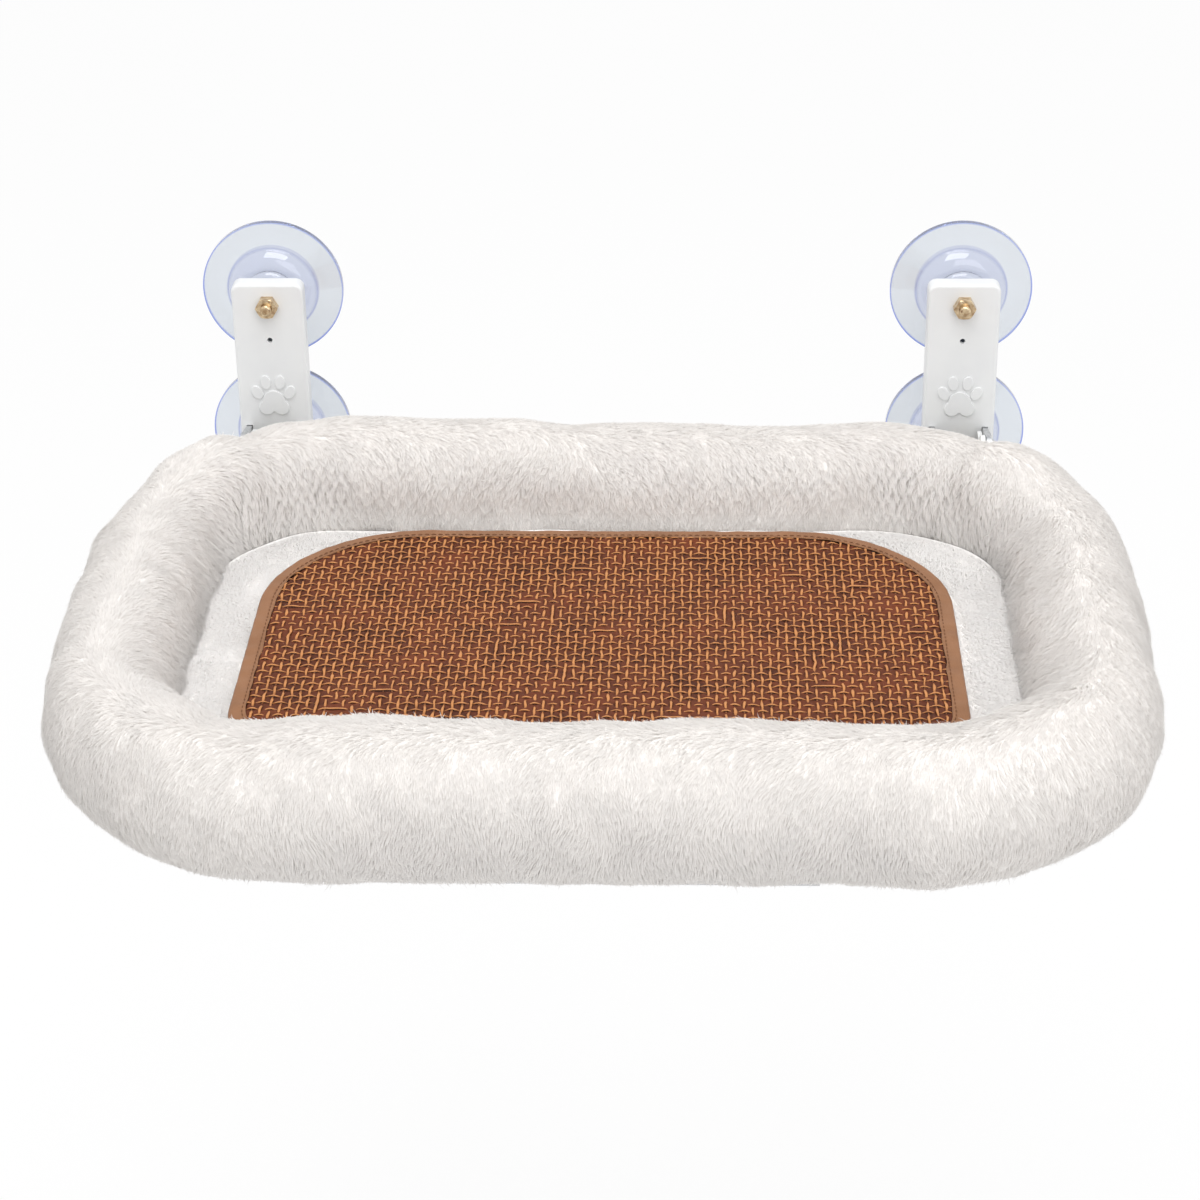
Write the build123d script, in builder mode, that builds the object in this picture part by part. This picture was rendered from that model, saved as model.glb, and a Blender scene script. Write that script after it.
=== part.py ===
"""Cat perch that hangs on a window from four suction cups.

Frame: the origin is the middle of the four suction cups, on the glass. +X is right and +Z is up
as seen from the room, and +Y points at the glass, so the bed stands out along -Y. Lengths are in
millimetres. A height from the glass is measured into the room, along -Y.
"""
from build123d import *
import os
from math import cos, radians, sin, sqrt

os.makedirs("parts", exist_ok=True)

# Clearances shared by many pieces
seat_gap = 0.3
press_gap = 0.02
running_gap = 0.05
overrun = 5.0

# Suction cups
cup_radius = 40.0
cup_side_inset = 45.0
cup_pitch = 88.0
cup_height = 18.0
cup_seal_width = 9.0
cup_cavity_depth = 3.0
cup_rim_thickness = 3.4
cup_dome_radius = 25.0
cup_flange_height = 5.6
cup_dome_height = 11.5
cup_neck_radius = 12.5
cup_knob_radius = 15.5
cup_knob_round = 2.0

# Studs moulded into the cups, and their nuts
stud_radius = 3.15
stud_head_radius = 8.0
stud_head_thickness = 2.4
stud_head_depth = 3.6
stud_show = 3.2
stud_tip_round = 1.2
nut_width = 11.1
nut_thickness = 5.5
nut_bevel = 0.8

# Bracket covers
bracket_width = 40.4
bracket_thickness = 10.0
bracket_wall = 2.4
bracket_corner = 5.0
bracket_edge_round = 1.6
bracket_top_margin = 12.6
bracket_bottom_margin = 4.0
boss_wall = 3.2
paw_drop = 58.4
paw_relief = 1.0
paw_round = 0.4
paw_pad_width = 12.8
paw_pad_height = 13.0
paw_lobe_radius = 4.5
paw_lobe = (4.2, -4.0)
paw_toe_width = 6.0
paw_toe_height = 8.6
paw_toe_tilt = 14.0
paw_outer_toe = (9.3, 5.4)
paw_inner_toe = (4.1, 11.6)
fixing_screw_drop = 21.0
fixing_screw_radius = 1.5
fixing_head_radius = 2.8

# Steel inserts and their hinge ears
insert_thickness = 2.5
insert_recess = 0.5
ear_thickness = 3.0
ear_radius = 6.5
ear_root_rise = 1.0
ear_root_drop = 17.0

# Hinge
pivot_height = 52.0
pivot_drop = 31.0
pin_radius = 2.5
pin_head_radius = 4.2
pin_head_thickness = 1.6
pin_tail = 3.0
clip_radius = 4.6
clip_thickness = 0.8
clip_groove_depth = 0.6
bush_wall = 1.5
bush_side_play = 0.6

# Folding support arms
arm_width = 26.0
arm_wall = 2.5
arm_depth = 14.0
arm_overhang = 6.0
heel_height = 15.0
stop_pad_thickness = 3.0
stop_pad_round = 1.0
stop_gap = 0.2

# Bolster: a stuffed roll round the bed
bolster_half_width = 240.0
bolster_half_depth = 158.0
bolster_corner = 98.0
bolster_back_radius = 41.5
bolster_side_radius = 33.5
bolster_front_radius = 37.5
bolster_drop = 39.0
bolster_to_bracket = 29.0
bolster_to_pin = 1.0
bolster_cover_thickness = 2.0
corner_steps = 4

# Frame tube under the bolster
tube_radius = 8.0
tube_wall = 1.2
tube_inset = 20.0
joiner_length = 64.0
joiner_wall = 1.2
joiner_screw_radius = 2.0
joiner_head_radius = 3.8
joiner_head_height = 2.0
joiner_screw_reach = 2.5
joiner_screw_spread = 24.0
joiner_screw_to_flap = 1.2

# Flat bars across the frame
bar_width = 22.0
bar_thickness = 3.0
bar_spread = 45.0
bar_end = 9.0
bolt_radius = 3.0
bolt_head_radius = 6.0
bolt_head_height = 3.0
bolt_show = 2.5
bolt_nut_width = 10.0
bolt_nut_thickness = 5.0
bolt_round = 1.6
screw_radius = 2.5
screw_head_radius = 4.6
screw_head_height = 2.4
screw_round = 0.8
screw_reach = 3.0

# Fabric deck stretched over the frame
deck_thickness = 1.0
wrap_thickness = 1.3
wrap_gap = 0.1
flap_to_tie = 12.0
lap_length = 26.0
snap_radius = 6.0
snap_thickness = 1.8
snap_round = 0.6
end_snap_margin = 22.5
tie_to_corner = 17.0
tie_width = 16.0
tie_thickness = 1.2
notch_margin = 2.0
notch_depth = 12.0

# Pad inside the bolster
pad_top_drop = 38.0
pad_cover_thickness = 2.0
pad_edge_round = 9.0
pad_base_round = 4.0
pad_corner_ease = 1.0

# Woven mat on the pad
mat_side_margin = 29.2
mat_rear_margin = 9.8
mat_front_margin = 5.0
mat_rear_corner = 82.0
mat_front_corner = 32.0
mat_backing_thickness = 0.8
mat_weave_thickness = 1.5
binding_width = 8.0
binding_thickness = 0.5

# Places worked out from the sizes above
cup_spacing = 2 * (bolster_half_width - cup_side_inset)
cup_x = cup_spacing / 2
cup_z = cup_pitch / 2
bracket_back = cup_height + seat_gap
bracket_front = bracket_back + bracket_thickness
bolster_back_height = max(
    bracket_front + bolster_to_bracket,
    pivot_height + pin_head_radius + bolster_to_pin,
)
bolster_centre_height = bolster_back_height + bolster_back_radius + bolster_half_depth
straight_half_width = bolster_half_width - bolster_corner
straight_half_depth = bolster_half_depth - bolster_corner
tube_half_width = bolster_half_width - tube_inset
tube_half_depth = bolster_half_depth - tube_inset
tube_corner = bolster_corner - tube_inset
tube_stack = wrap_gap + max(tie_thickness, wrap_thickness) + seat_gap
tube_to_roll = bolster_back_radius + tube_radius + tube_stack
tube_drop = bolster_drop + sqrt(tube_to_roll**2 - tube_inset**2)
bar_top_drop = tube_drop + tube_radius
arm_top_drop = bar_top_drop + bar_thickness
arm_bottom_drop = arm_top_drop + arm_depth
arm_back_height = bracket_front + stop_pad_thickness + stop_gap
arm_end_height = bolster_centre_height + bar_spread + bar_width / 2 + arm_overhang
bracket_top = cup_z + bracket_top_margin
bracket_bottom = arm_bottom_drop + bracket_bottom_margin
bracket_length = bracket_top + bracket_bottom
bracket_middle = (bracket_top - bracket_bottom) / 2
insert_back = bracket_back + insert_recess
insert_front = insert_back + insert_thickness
countersink_end = insert_back + fixing_head_radius - fixing_screw_radius
arm_half_width = arm_width / 2
ear_inner = arm_half_width + bush_side_play
pad_bottom_drop = tube_drop - tube_radius - wrap_gap - wrap_thickness - seat_gap
wrap_inner = tube_radius + wrap_gap
wrap_outer = wrap_inner + wrap_thickness
deck_top_drop = tube_drop - wrap_inner - deck_thickness - wrap_gap
tie_half_spacing = straight_half_width - tie_to_corner
flap_half_length = tie_half_spacing - tie_width / 2 - flap_to_tie
end_snap_step = 2 * (flap_half_length - end_snap_margin) / 3
side_flap_half_length = joiner_screw_spread - joiner_head_radius - joiner_screw_to_flap

SIDES = (("left", -1), ("right", 1))
LEVELS = (("upper", 1), ("lower", -1))


def write(builder, name):
    """Label a finished piece and write it to its own file."""
    builder.part.label = name
    export_step(builder.part, f"parts/{name}.step")


def glass_plane(height):
    """A plane parallel to the glass, at a height into the room; its own axes are X and Z."""
    return Plane.XZ.offset(height)


def roll_section(x, depth, turn, radius):
    """A round section of the bolster, made of three arcs, square to the roll's run."""
    section_plane = Plane(
        origin=(x, depth - bolster_centre_height, -bolster_drop),
        x_dir=(sin(radians(turn)), cos(radians(turn)), 0),
        z_dir=(cos(radians(turn)), -sin(radians(turn)), 0),
    )
    points = [(radius * cos(radians(angle)), radius * sin(radians(angle))) for angle in range(0, 360, 60)]
    with BuildSketch(section_plane) as section:
        with BuildLine():
            ThreePointArc(points[0], points[1], points[2])
            ThreePointArc(points[2], points[3], points[4])
            ThreePointArc(points[4], points[5], points[0])
        make_face()
    return section.sketch


def corner_sections(toward, end_radius, inset):
    """Sections round a corner of the bolster, whose radius swells from the side's to the end's."""
    sections = []
    for step in range(corner_steps + 1):
        turn = 90 * step / corner_steps
        share = sin(radians(turn)) ** 2
        x = straight_half_width + bolster_corner * cos(radians(turn))
        depth = toward * (straight_half_depth + bolster_corner * sin(radians(turn)))
        radius = bolster_side_radius + (end_radius - bolster_side_radius) * share - inset
        heading = 90 - turn if toward > 0 else 90 + turn
        sections.append(roll_section(x, depth, heading, radius))
    return sections


def roll_half(inset):
    """The right half of the bolster, from the rear middle round to the front middle."""
    rear = corner_sections(1, bolster_back_radius, inset)
    front = corner_sections(-1, bolster_front_radius, inset)
    rear_middle = roll_section(0, bolster_half_depth, 0, bolster_back_radius - inset)
    front_middle = roll_section(0, -bolster_half_depth, 180, bolster_front_radius - inset)
    with BuildPart() as half:
        loft(sections=[rear_middle, rear[-1]], ruled=True)
        loft(sections=rear)
        loft(sections=[rear[0], front[0]], ruled=True)
        loft(sections=front)
        loft(sections=[front[-1], front_middle], ruled=True)
    return half.part


# Suction cups of clear vinyl, each moulded round the head of its stud
for level, up in LEVELS:
    for side, across in SIDES:
        centre = (across * cup_x, 0, up * cup_z)
        place = (across * cup_x, up * cup_z)
        with BuildPart() as suction_cup:
            with BuildSketch(Plane(origin=centre, x_dir=(1, 0, 0), z_dir=(0, 0, 1))):
                with BuildLine():
                    seal_inner = cup_radius - cup_seal_width
                    ThreePointArc(
                        (0, -cup_cavity_depth),
                        (seal_inner / 2, -cup_cavity_depth * 3 / 4),
                        (seal_inner, 0),
                    )
                    Polyline(
                        (seal_inner, 0),
                        (cup_radius, 0),
                        (cup_radius, -cup_rim_thickness),
                        (cup_dome_radius, -cup_flange_height),
                    )
                    dome_rise = cup_dome_height - cup_flange_height
                    ThreePointArc(
                        (cup_dome_radius, -cup_flange_height),
                        (cup_dome_radius - dome_rise / 2, -cup_dome_height + dome_rise / 4),
                        (cup_neck_radius, -cup_dome_height),
                    )
                    ThreePointArc(
                        (cup_neck_radius, -cup_dome_height),
                        (cup_knob_radius, -(cup_dome_height + cup_height) / 2),
                        (cup_knob_radius - cup_knob_round, -cup_height),
                    )
                    Polyline(
                        (cup_knob_radius - cup_knob_round, -cup_height),
                        (0, -cup_height),
                        (0, -cup_cavity_depth),
                    )
                make_face()
            revolve(axis=Axis(centre, (0, 1, 0)))
            with BuildSketch(glass_plane(cup_height - stud_head_depth - stud_head_thickness)):
                with Locations(place):
                    Circle(stud_head_radius + press_gap)
            extrude(amount=stud_head_thickness, mode=Mode.SUBTRACT)
            with BuildSketch(glass_plane(cup_height - stud_head_depth)):
                with Locations(place):
                    Circle(stud_radius + press_gap)
            extrude(amount=stud_head_depth + overrun, mode=Mode.SUBTRACT)
        write(suction_cup, f"suction_cup_{level}_{side}")

        with BuildPart() as cup_stud:
            with BuildSketch(glass_plane(cup_height - stud_head_depth - stud_head_thickness)):
                with Locations(place):
                    Circle(stud_head_radius)
            extrude(amount=stud_head_thickness)
            stud_length = bracket_front + nut_thickness + stud_show - (cup_height - stud_head_depth)
            with BuildSketch(glass_plane(cup_height - stud_head_depth)):
                with Locations(place):
                    Circle(stud_radius)
            extrude(amount=stud_length)
            fillet(cup_stud.edges().sort_by(Axis.Y)[0], radius=stud_tip_round)
        write(cup_stud, f"cup_stud_{level}_{side}")

        with BuildPart() as cup_nut:
            with BuildSketch(glass_plane(bracket_front)):
                with Locations(place):
                    RegularPolygon(radius=nut_width / 2, side_count=6, major_radius=False)
            extrude(amount=nut_thickness)
            nut_corner = nut_width / 2 / cos(radians(30))
            nut_face = bracket_front + nut_thickness
            with BuildSketch(Plane(origin=centre, x_dir=(1, 0, 0), z_dir=(0, 0, 1))):
                with BuildLine():
                    Polyline(
                        (0, -bracket_front),
                        (nut_corner, -bracket_front),
                        (nut_corner, nut_bevel - nut_face),
                        (nut_corner - nut_bevel, -nut_face),
                        (0, -nut_face),
                        close=True,
                    )
                make_face()
            revolve(axis=Axis(centre, (0, 1, 0)), mode=Mode.INTERSECT)
            with BuildSketch(glass_plane(bracket_front - overrun)):
                with Locations(place):
                    Circle(stud_radius + running_gap)
            extrude(amount=nut_thickness + 2 * overrun, mode=Mode.SUBTRACT)
        write(cup_nut, f"cup_nut_{level}_{side}")


# Bracket covers: white mouldings, hollow at the back, with a raised paw below the upper nut
for side, across in SIDES:
    x = across * cup_x
    stud_places = [(x, cup_z), (x, -cup_z)]
    fixing_places = [(x, cup_z - fixing_screw_drop), (x, -cup_z - fixing_screw_drop)]
    ear_middle = ear_inner + ear_thickness / 2
    paw_z = cup_z - paw_drop
    with BuildPart() as bracket_cover:
        with BuildSketch(glass_plane(bracket_back)):
            with Locations((x, bracket_middle)):
                RectangleRounded(bracket_width, bracket_length, bracket_corner)
        extrude(amount=bracket_thickness)
        fillet(bracket_cover.edges().group_by(Axis.Y)[0], radius=bracket_edge_round)
        with BuildSketch(glass_plane(bracket_back)):
            with Locations((x, bracket_middle)):
                RectangleRounded(
                    bracket_width - 2 * bracket_wall,
                    bracket_length - 2 * bracket_wall,
                    bracket_corner - bracket_wall,
                )
        extrude(amount=bracket_thickness - bracket_wall, mode=Mode.SUBTRACT)
        with BuildSketch(glass_plane(insert_front)):
            with Locations(*stud_places):
                Circle(stud_radius + boss_wall)
            with Locations(*fixing_places):
                Circle(fixing_screw_radius + boss_wall)
        extrude(amount=bracket_front - bracket_wall - insert_front)
        with BuildSketch(glass_plane(insert_front)):
            with Locations(*stud_places):
                Circle(stud_radius + running_gap)
            with Locations(*fixing_places):
                Circle(fixing_screw_radius)
        extrude(amount=bracket_front - insert_front + overrun, mode=Mode.SUBTRACT)
        with BuildSketch(glass_plane(insert_front)):
            slot_length = ear_root_rise + ear_root_drop + 2 * seat_gap
            slot_z = (ear_root_rise - ear_root_drop) / 2 - pivot_drop
            with Locations((x - ear_middle, slot_z), (x + ear_middle, slot_z)):
                Rectangle(ear_thickness + 2 * seat_gap, slot_length)
        extrude(amount=bracket_front - insert_front + overrun, mode=Mode.SUBTRACT)
        with BuildSketch(glass_plane(bracket_front - bracket_wall / 2)):
            with Locations((x, paw_z)):
                Ellipse(paw_pad_width / 2, paw_pad_height / 2)
            for hand in (-1, 1):
                with Locations((x + hand * paw_lobe[0], paw_z + paw_lobe[1])):
                    Circle(paw_lobe_radius)
                for toe, tilt in ((paw_outer_toe, 2 * paw_toe_tilt), (paw_inner_toe, paw_toe_tilt / 2)):
                    with Locations((x + hand * toe[0], paw_z + toe[1])):
                        Ellipse(paw_toe_width / 2, paw_toe_height / 2, rotation=-hand * tilt)
        extrude(amount=bracket_wall / 2 + paw_relief)
        fillet(bracket_cover.edges().group_by(Axis.Y)[0], radius=paw_round)
    write(bracket_cover, f"bracket_cover_{side}")

    # Steel insert in the back of the cover, with two ears that carry the hinge pin
    with BuildPart() as bracket_insert:
        with BuildSketch(glass_plane(insert_back)):
            with Locations((x, bracket_middle)):
                RectangleRounded(
                    bracket_width - 2 * (bracket_wall + seat_gap),
                    bracket_length - 2 * (bracket_wall + seat_gap),
                    bracket_corner - bracket_wall,
                )
        extrude(amount=insert_thickness)
        for hand in (-1, 1):
            with BuildSketch(Plane.YZ.offset(x + hand * ear_middle)):
                with BuildLine():
                    Polyline(
                        (-insert_back, -pivot_drop + ear_root_rise),
                        (-bracket_front, -pivot_drop + ear_root_rise),
                        (-pivot_height, -pivot_drop + ear_radius),
                        (-pivot_height, -pivot_drop - ear_radius),
                        (-bracket_front, -pivot_drop - ear_root_drop),
                        (-insert_back, -pivot_drop - ear_root_drop),
                        close=True,
                    )
                make_face()
                with Locations((-pivot_height, -pivot_drop)):
                    Circle(ear_radius)
            extrude(amount=ear_thickness / 2, both=True)
        with BuildSketch(Plane.YZ.offset(x)):
            with Locations((-pivot_height, -pivot_drop)):
                Circle(pin_radius + press_gap)
        extrude(amount=bracket_width, both=True, mode=Mode.SUBTRACT)
        with BuildSketch(glass_plane(insert_back - overrun)):
            with Locations(*stud_places):
                Circle(stud_radius + running_gap)
            with Locations(*fixing_places):
                Circle(fixing_screw_radius + running_gap)
        extrude(amount=insert_thickness + 2 * overrun, mode=Mode.SUBTRACT)
        for place in fixing_places:
            with BuildSketch(Plane(origin=(x, 0, place[1]), x_dir=(1, 0, 0), z_dir=(0, 0, 1))):
                with BuildLine():
                    Polyline(
                        (0, -insert_back),
                        (fixing_head_radius, -insert_back),
                        (fixing_screw_radius, -countersink_end),
                        (0, -countersink_end),
                        close=True,
                    )
                make_face()
            revolve(axis=Axis((x, 0, place[1]), (0, 1, 0)), mode=Mode.SUBTRACT)
    write(bracket_insert, f"bracket_insert_{side}")

    # Countersunk screws that hold the insert in its cover, driven from the glass side
    with BuildPart() as insert_screws:
        for place in fixing_places:
            screw_end = bracket_front - bracket_wall
            with BuildSketch(Plane(origin=(x, 0, place[1]), x_dir=(1, 0, 0), z_dir=(0, 0, 1))):
                with BuildLine():
                    Polyline(
                        (0, -insert_back),
                        (fixing_head_radius, -insert_back),
                        (fixing_screw_radius, -countersink_end),
                        (fixing_screw_radius, -screw_end),
                        (0, -screw_end),
                        close=True,
                    )
                make_face()
            revolve(axis=Axis((x, 0, place[1]), (0, 1, 0)))
    write(insert_screws, f"insert_screws_{side}")

    # Hinge pin through the ears, with a head on its outer end and a clip groove on the inner one
    pin_start = x - across * (ear_inner + ear_thickness + clip_thickness + pin_tail)
    pin_end = x + across * (ear_inner + ear_thickness)
    groove = x - across * (ear_inner + ear_thickness + running_gap)
    with BuildPart() as hinge_pin:
        with BuildSketch(Plane.YZ.offset(pin_start)):
            with Locations((-pivot_height, -pivot_drop)):
                Circle(pin_radius)
        extrude(amount=across * (abs(pin_end) - abs(pin_start)))
        with BuildSketch(Plane.YZ.offset(pin_end)):
            with Locations((-pivot_height, -pivot_drop)):
                Circle(pin_head_radius)
        extrude(amount=across * pin_head_thickness)
        with BuildSketch(Plane.YZ.offset(groove)):
            with Locations((-pivot_height, -pivot_drop)):
                Circle(pin_radius + overrun)
                Circle(pin_radius - clip_groove_depth, mode=Mode.SUBTRACT)
        extrude(amount=-across * (clip_thickness + 2 * running_gap), mode=Mode.SUBTRACT)
    write(hinge_pin, f"hinge_pin_{side}")

    # Spring clip that sits in the pin's groove
    with BuildPart() as pin_clip:
        with BuildSketch(Plane.YZ.offset(groove - across * running_gap)):
            with Locations((-pivot_height, -pivot_drop)):
                Circle(clip_radius)
                Circle(pin_radius - clip_groove_depth + press_gap, mode=Mode.SUBTRACT)
            with Locations((-pivot_height, -pivot_drop - clip_radius)):
                Rectangle(2 * (pin_radius - clip_groove_depth), 2 * clip_radius, mode=Mode.SUBTRACT)
        extrude(amount=-across * clip_thickness)
    write(pin_clip, f"pin_clip_{side}")

    # Plain bush that turns on the pin and fills both holes of the support arm
    with BuildPart() as hinge_bush:
        with BuildSketch(Plane.YZ.offset(x)):
            with Locations((-pivot_height, -pivot_drop)):
                Circle(pin_radius + running_gap + bush_wall)
                Circle(pin_radius + running_gap, mode=Mode.SUBTRACT)
        extrude(amount=arm_half_width + bush_side_play / 2, both=True)
    write(hinge_bush, f"hinge_bush_{side}")

    # Folding support arm: a pressed channel, bent from the hinge down and out under the bed
    bush_radius = pin_radius + running_gap + bush_wall
    arm_front = pivot_height + ear_radius
    bolt_places = [(x, -bolster_centre_height - bar_spread), (x, -bolster_centre_height + bar_spread)]
    with BuildPart() as support_arm:
        with BuildSketch(Plane.YZ.offset(x)):
            with BuildLine():
                Polyline(
                    (-arm_back_height, -pivot_drop),
                    (-arm_back_height, -arm_bottom_drop),
                    (-arm_end_height, -arm_bottom_drop),
                    (-arm_end_height, -arm_top_drop),
                    (-arm_front, -arm_top_drop),
                    (-arm_front, -pivot_drop),
                    close=True,
                )
            make_face()
            with Locations((-pivot_height, -pivot_drop)):
                Circle(ear_radius)
        extrude(amount=arm_half_width, both=True)
        with BuildSketch(Plane.YZ.offset(x)):
            heel_top = arm_bottom_drop - heel_height
            heel_wall = arm_back_height + arm_wall
            with BuildLine():
                Polyline(
                    (-arm_back_height + overrun, -pivot_drop + ear_radius + overrun),
                    (-arm_back_height + overrun, -heel_top),
                    (-heel_wall, -heel_top),
                    (-heel_wall, -arm_bottom_drop - overrun),
                    (-arm_end_height - overrun, -arm_bottom_drop - overrun),
                    (-arm_end_height - overrun, -arm_top_drop - arm_wall),
                    (-arm_front + arm_wall, -arm_top_drop - arm_wall),
                    (-arm_front + arm_wall, -pivot_drop - ear_radius),
                    (-arm_front - overrun, -pivot_drop - ear_radius),
                    (-arm_front - overrun, -pivot_drop + ear_radius + overrun),
                    close=True,
                )
            make_face()
        extrude(amount=arm_half_width - arm_wall, both=True, mode=Mode.SUBTRACT)
        with BuildSketch(Plane.YZ.offset(x)):
            with Locations((-pivot_height, -pivot_drop)):
                Circle(bush_radius + press_gap)
        extrude(amount=arm_width, both=True, mode=Mode.SUBTRACT)
        with BuildSketch(Plane.XY.offset(-arm_top_drop - arm_depth)):
            with Locations(*bolt_places):
                Circle(bolt_radius + running_gap)
        extrude(amount=arm_depth + overrun, mode=Mode.SUBTRACT)
    write(support_arm, f"support_arm_{side}")

    # Rubber pad on the arm's heel, which rests on the bracket when the bed is down
    with BuildPart() as stop_pad:
        with BuildSketch(glass_plane(arm_back_height)):
            with Locations((x, heel_height / 2 - arm_bottom_drop)):
                RectangleRounded(arm_width - arm_wall, heel_height - arm_wall, arm_wall)
        extrude(amount=-stop_pad_thickness)
        fillet(stop_pad.edges().group_by(Axis.Y)[-1], radius=stop_pad_round)
    write(stop_pad, f"stop_pad_{side}")

    # Bolts that hold the two flat bars on the arm, heads above, nuts inside the channel
    with BuildPart() as arm_bolts:
        bolt_end = arm_top_drop + arm_wall + bolt_nut_thickness + bolt_show
        with BuildSketch(Plane.XY.offset(-bolt_end)):
            with Locations(*bolt_places):
                Circle(bolt_radius)
        extrude(amount=bolt_end - bar_top_drop)
        with BuildSketch(Plane.XY.offset(-bar_top_drop)):
            with Locations(*bolt_places):
                Circle(bolt_head_radius)
        extrude(amount=bolt_head_height)
        fillet(arm_bolts.edges().group_by(Axis.Z)[-1], radius=bolt_round)
    write(arm_bolts, f"arm_bolts_{side}")

    with BuildPart() as arm_nuts:
        with BuildSketch(Plane.XY.offset(-arm_top_drop - arm_wall)):
            with Locations(*bolt_places):
                RegularPolygon(radius=bolt_nut_width / 2, side_count=6, major_radius=False)
                Circle(bolt_radius + running_gap, mode=Mode.SUBTRACT)
        extrude(amount=-bolt_nut_thickness)
    write(arm_nuts, f"arm_nuts_{side}")

# Flat bars across the frame, bolted to the arms and screwed to the side tubes
for end, toward in (("rear", 1), ("front", -1)):
    bar_y = toward * bar_spread - bolster_centre_height
    bar_half_length = tube_half_width + bar_end
    screw_places = [(-tube_half_width, bar_y), (tube_half_width, bar_y)]
    with BuildPart() as cross_bar:
        with BuildSketch(Plane.XY.offset(-bar_top_drop)):
            with Locations((0, bar_y)):
                RectangleRounded(2 * bar_half_length, bar_width, bar_width / 3)
            with Locations((-cup_x, bar_y), (cup_x, bar_y)):
                Circle(bolt_radius + running_gap, mode=Mode.SUBTRACT)
            with Locations(*screw_places):
                Circle(screw_radius + running_gap, mode=Mode.SUBTRACT)
        extrude(amount=-bar_thickness)
    write(cross_bar, f"cross_bar_{end}")

    # Screws up through the bar into the side tubes
    with BuildPart() as bar_screws:
        with BuildSketch(Plane.XY.offset(-arm_top_drop)):
            with Locations(*screw_places):
                Circle(screw_radius)
        extrude(amount=bar_thickness + tube_wall + screw_reach)
        with BuildSketch(Plane.XY.offset(-arm_top_drop)):
            with Locations(*screw_places):
                Circle(screw_head_radius)
        extrude(amount=-screw_head_height)
        fillet(bar_screws.edges().group_by(Axis.Z)[0], radius=screw_round)
    write(bar_screws, f"bar_screws_{end}")

    # Half of the frame: a round tube bent to a U, open at the middle of the sides
    with BuildPart() as frame_tube:
        with BuildLine(Plane.XY.offset(-tube_drop)) as route:
            FilletPolyline(
                (tube_half_width, -bolster_centre_height),
                (tube_half_width, toward * tube_half_depth - bolster_centre_height),
                (-tube_half_width, toward * tube_half_depth - bolster_centre_height),
                (-tube_half_width, -bolster_centre_height),
                radius=tube_corner,
            )
        tube_end = (tube_half_width, -bolster_centre_height, -tube_drop)
        with BuildSketch(Plane(origin=tube_end, z_dir=(0, toward, 0))):
            Circle(tube_radius)
            Circle(tube_radius - tube_wall, mode=Mode.SUBTRACT)
        sweep()
        joiner_screw_y = toward * joiner_screw_spread - bolster_centre_height
        with BuildSketch(Plane.XY.offset(-bar_top_drop)):
            with Locations((-tube_half_width, joiner_screw_y), (tube_half_width, joiner_screw_y)):
                Circle(joiner_screw_radius + press_gap)
        extrude(amount=tube_radius, mode=Mode.SUBTRACT)
        with BuildSketch(Plane.XY.offset(-bar_top_drop)):
            with Locations(*screw_places):
                Circle(screw_radius + press_gap)
        extrude(amount=tube_radius, mode=Mode.SUBTRACT)
    write(frame_tube, f"frame_tube_{end}")

# Sleeves inside the side tubes, where the two halves of the frame meet
joiner_radius = tube_radius - tube_wall - running_gap
for side, across in SIDES:
    x = across * tube_half_width
    joiner_screw_places = [
        (x, joiner_screw_spread - bolster_centre_height),
        (x, -joiner_screw_spread - bolster_centre_height),
    ]
    with BuildPart() as tube_joiner:
        with BuildSketch(glass_plane(bolster_centre_height)):
            with Locations((x, -tube_drop)):
                Circle(joiner_radius)
                Circle(joiner_radius - joiner_wall, mode=Mode.SUBTRACT)
        extrude(amount=joiner_length / 2, both=True)
        with BuildSketch(Plane.XY.offset(-bar_top_drop)):
            with Locations(*joiner_screw_places):
                Circle(joiner_screw_radius + press_gap)
        extrude(amount=tube_radius, mode=Mode.SUBTRACT)
    write(tube_joiner, f"tube_joiner_{side}")

    # Screws up through the tubes into the sleeve
    with BuildPart() as joiner_screws:
        with BuildSketch(Plane.XY.offset(-bar_top_drop)):
            with Locations(*joiner_screw_places):
                Circle(joiner_screw_radius)
        extrude(amount=tube_wall + joiner_wall + joiner_screw_reach)
        with BuildSketch(Plane.XY.offset(-bar_top_drop)):
            with Locations(*joiner_screw_places):
                Circle(joiner_head_radius)
        extrude(amount=-joiner_head_height)
        fillet(joiner_screws.edges().group_by(Axis.Z)[0], radius=joiner_head_height / 2)
    write(joiner_screws, f"joiner_screws_{side}")

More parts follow.
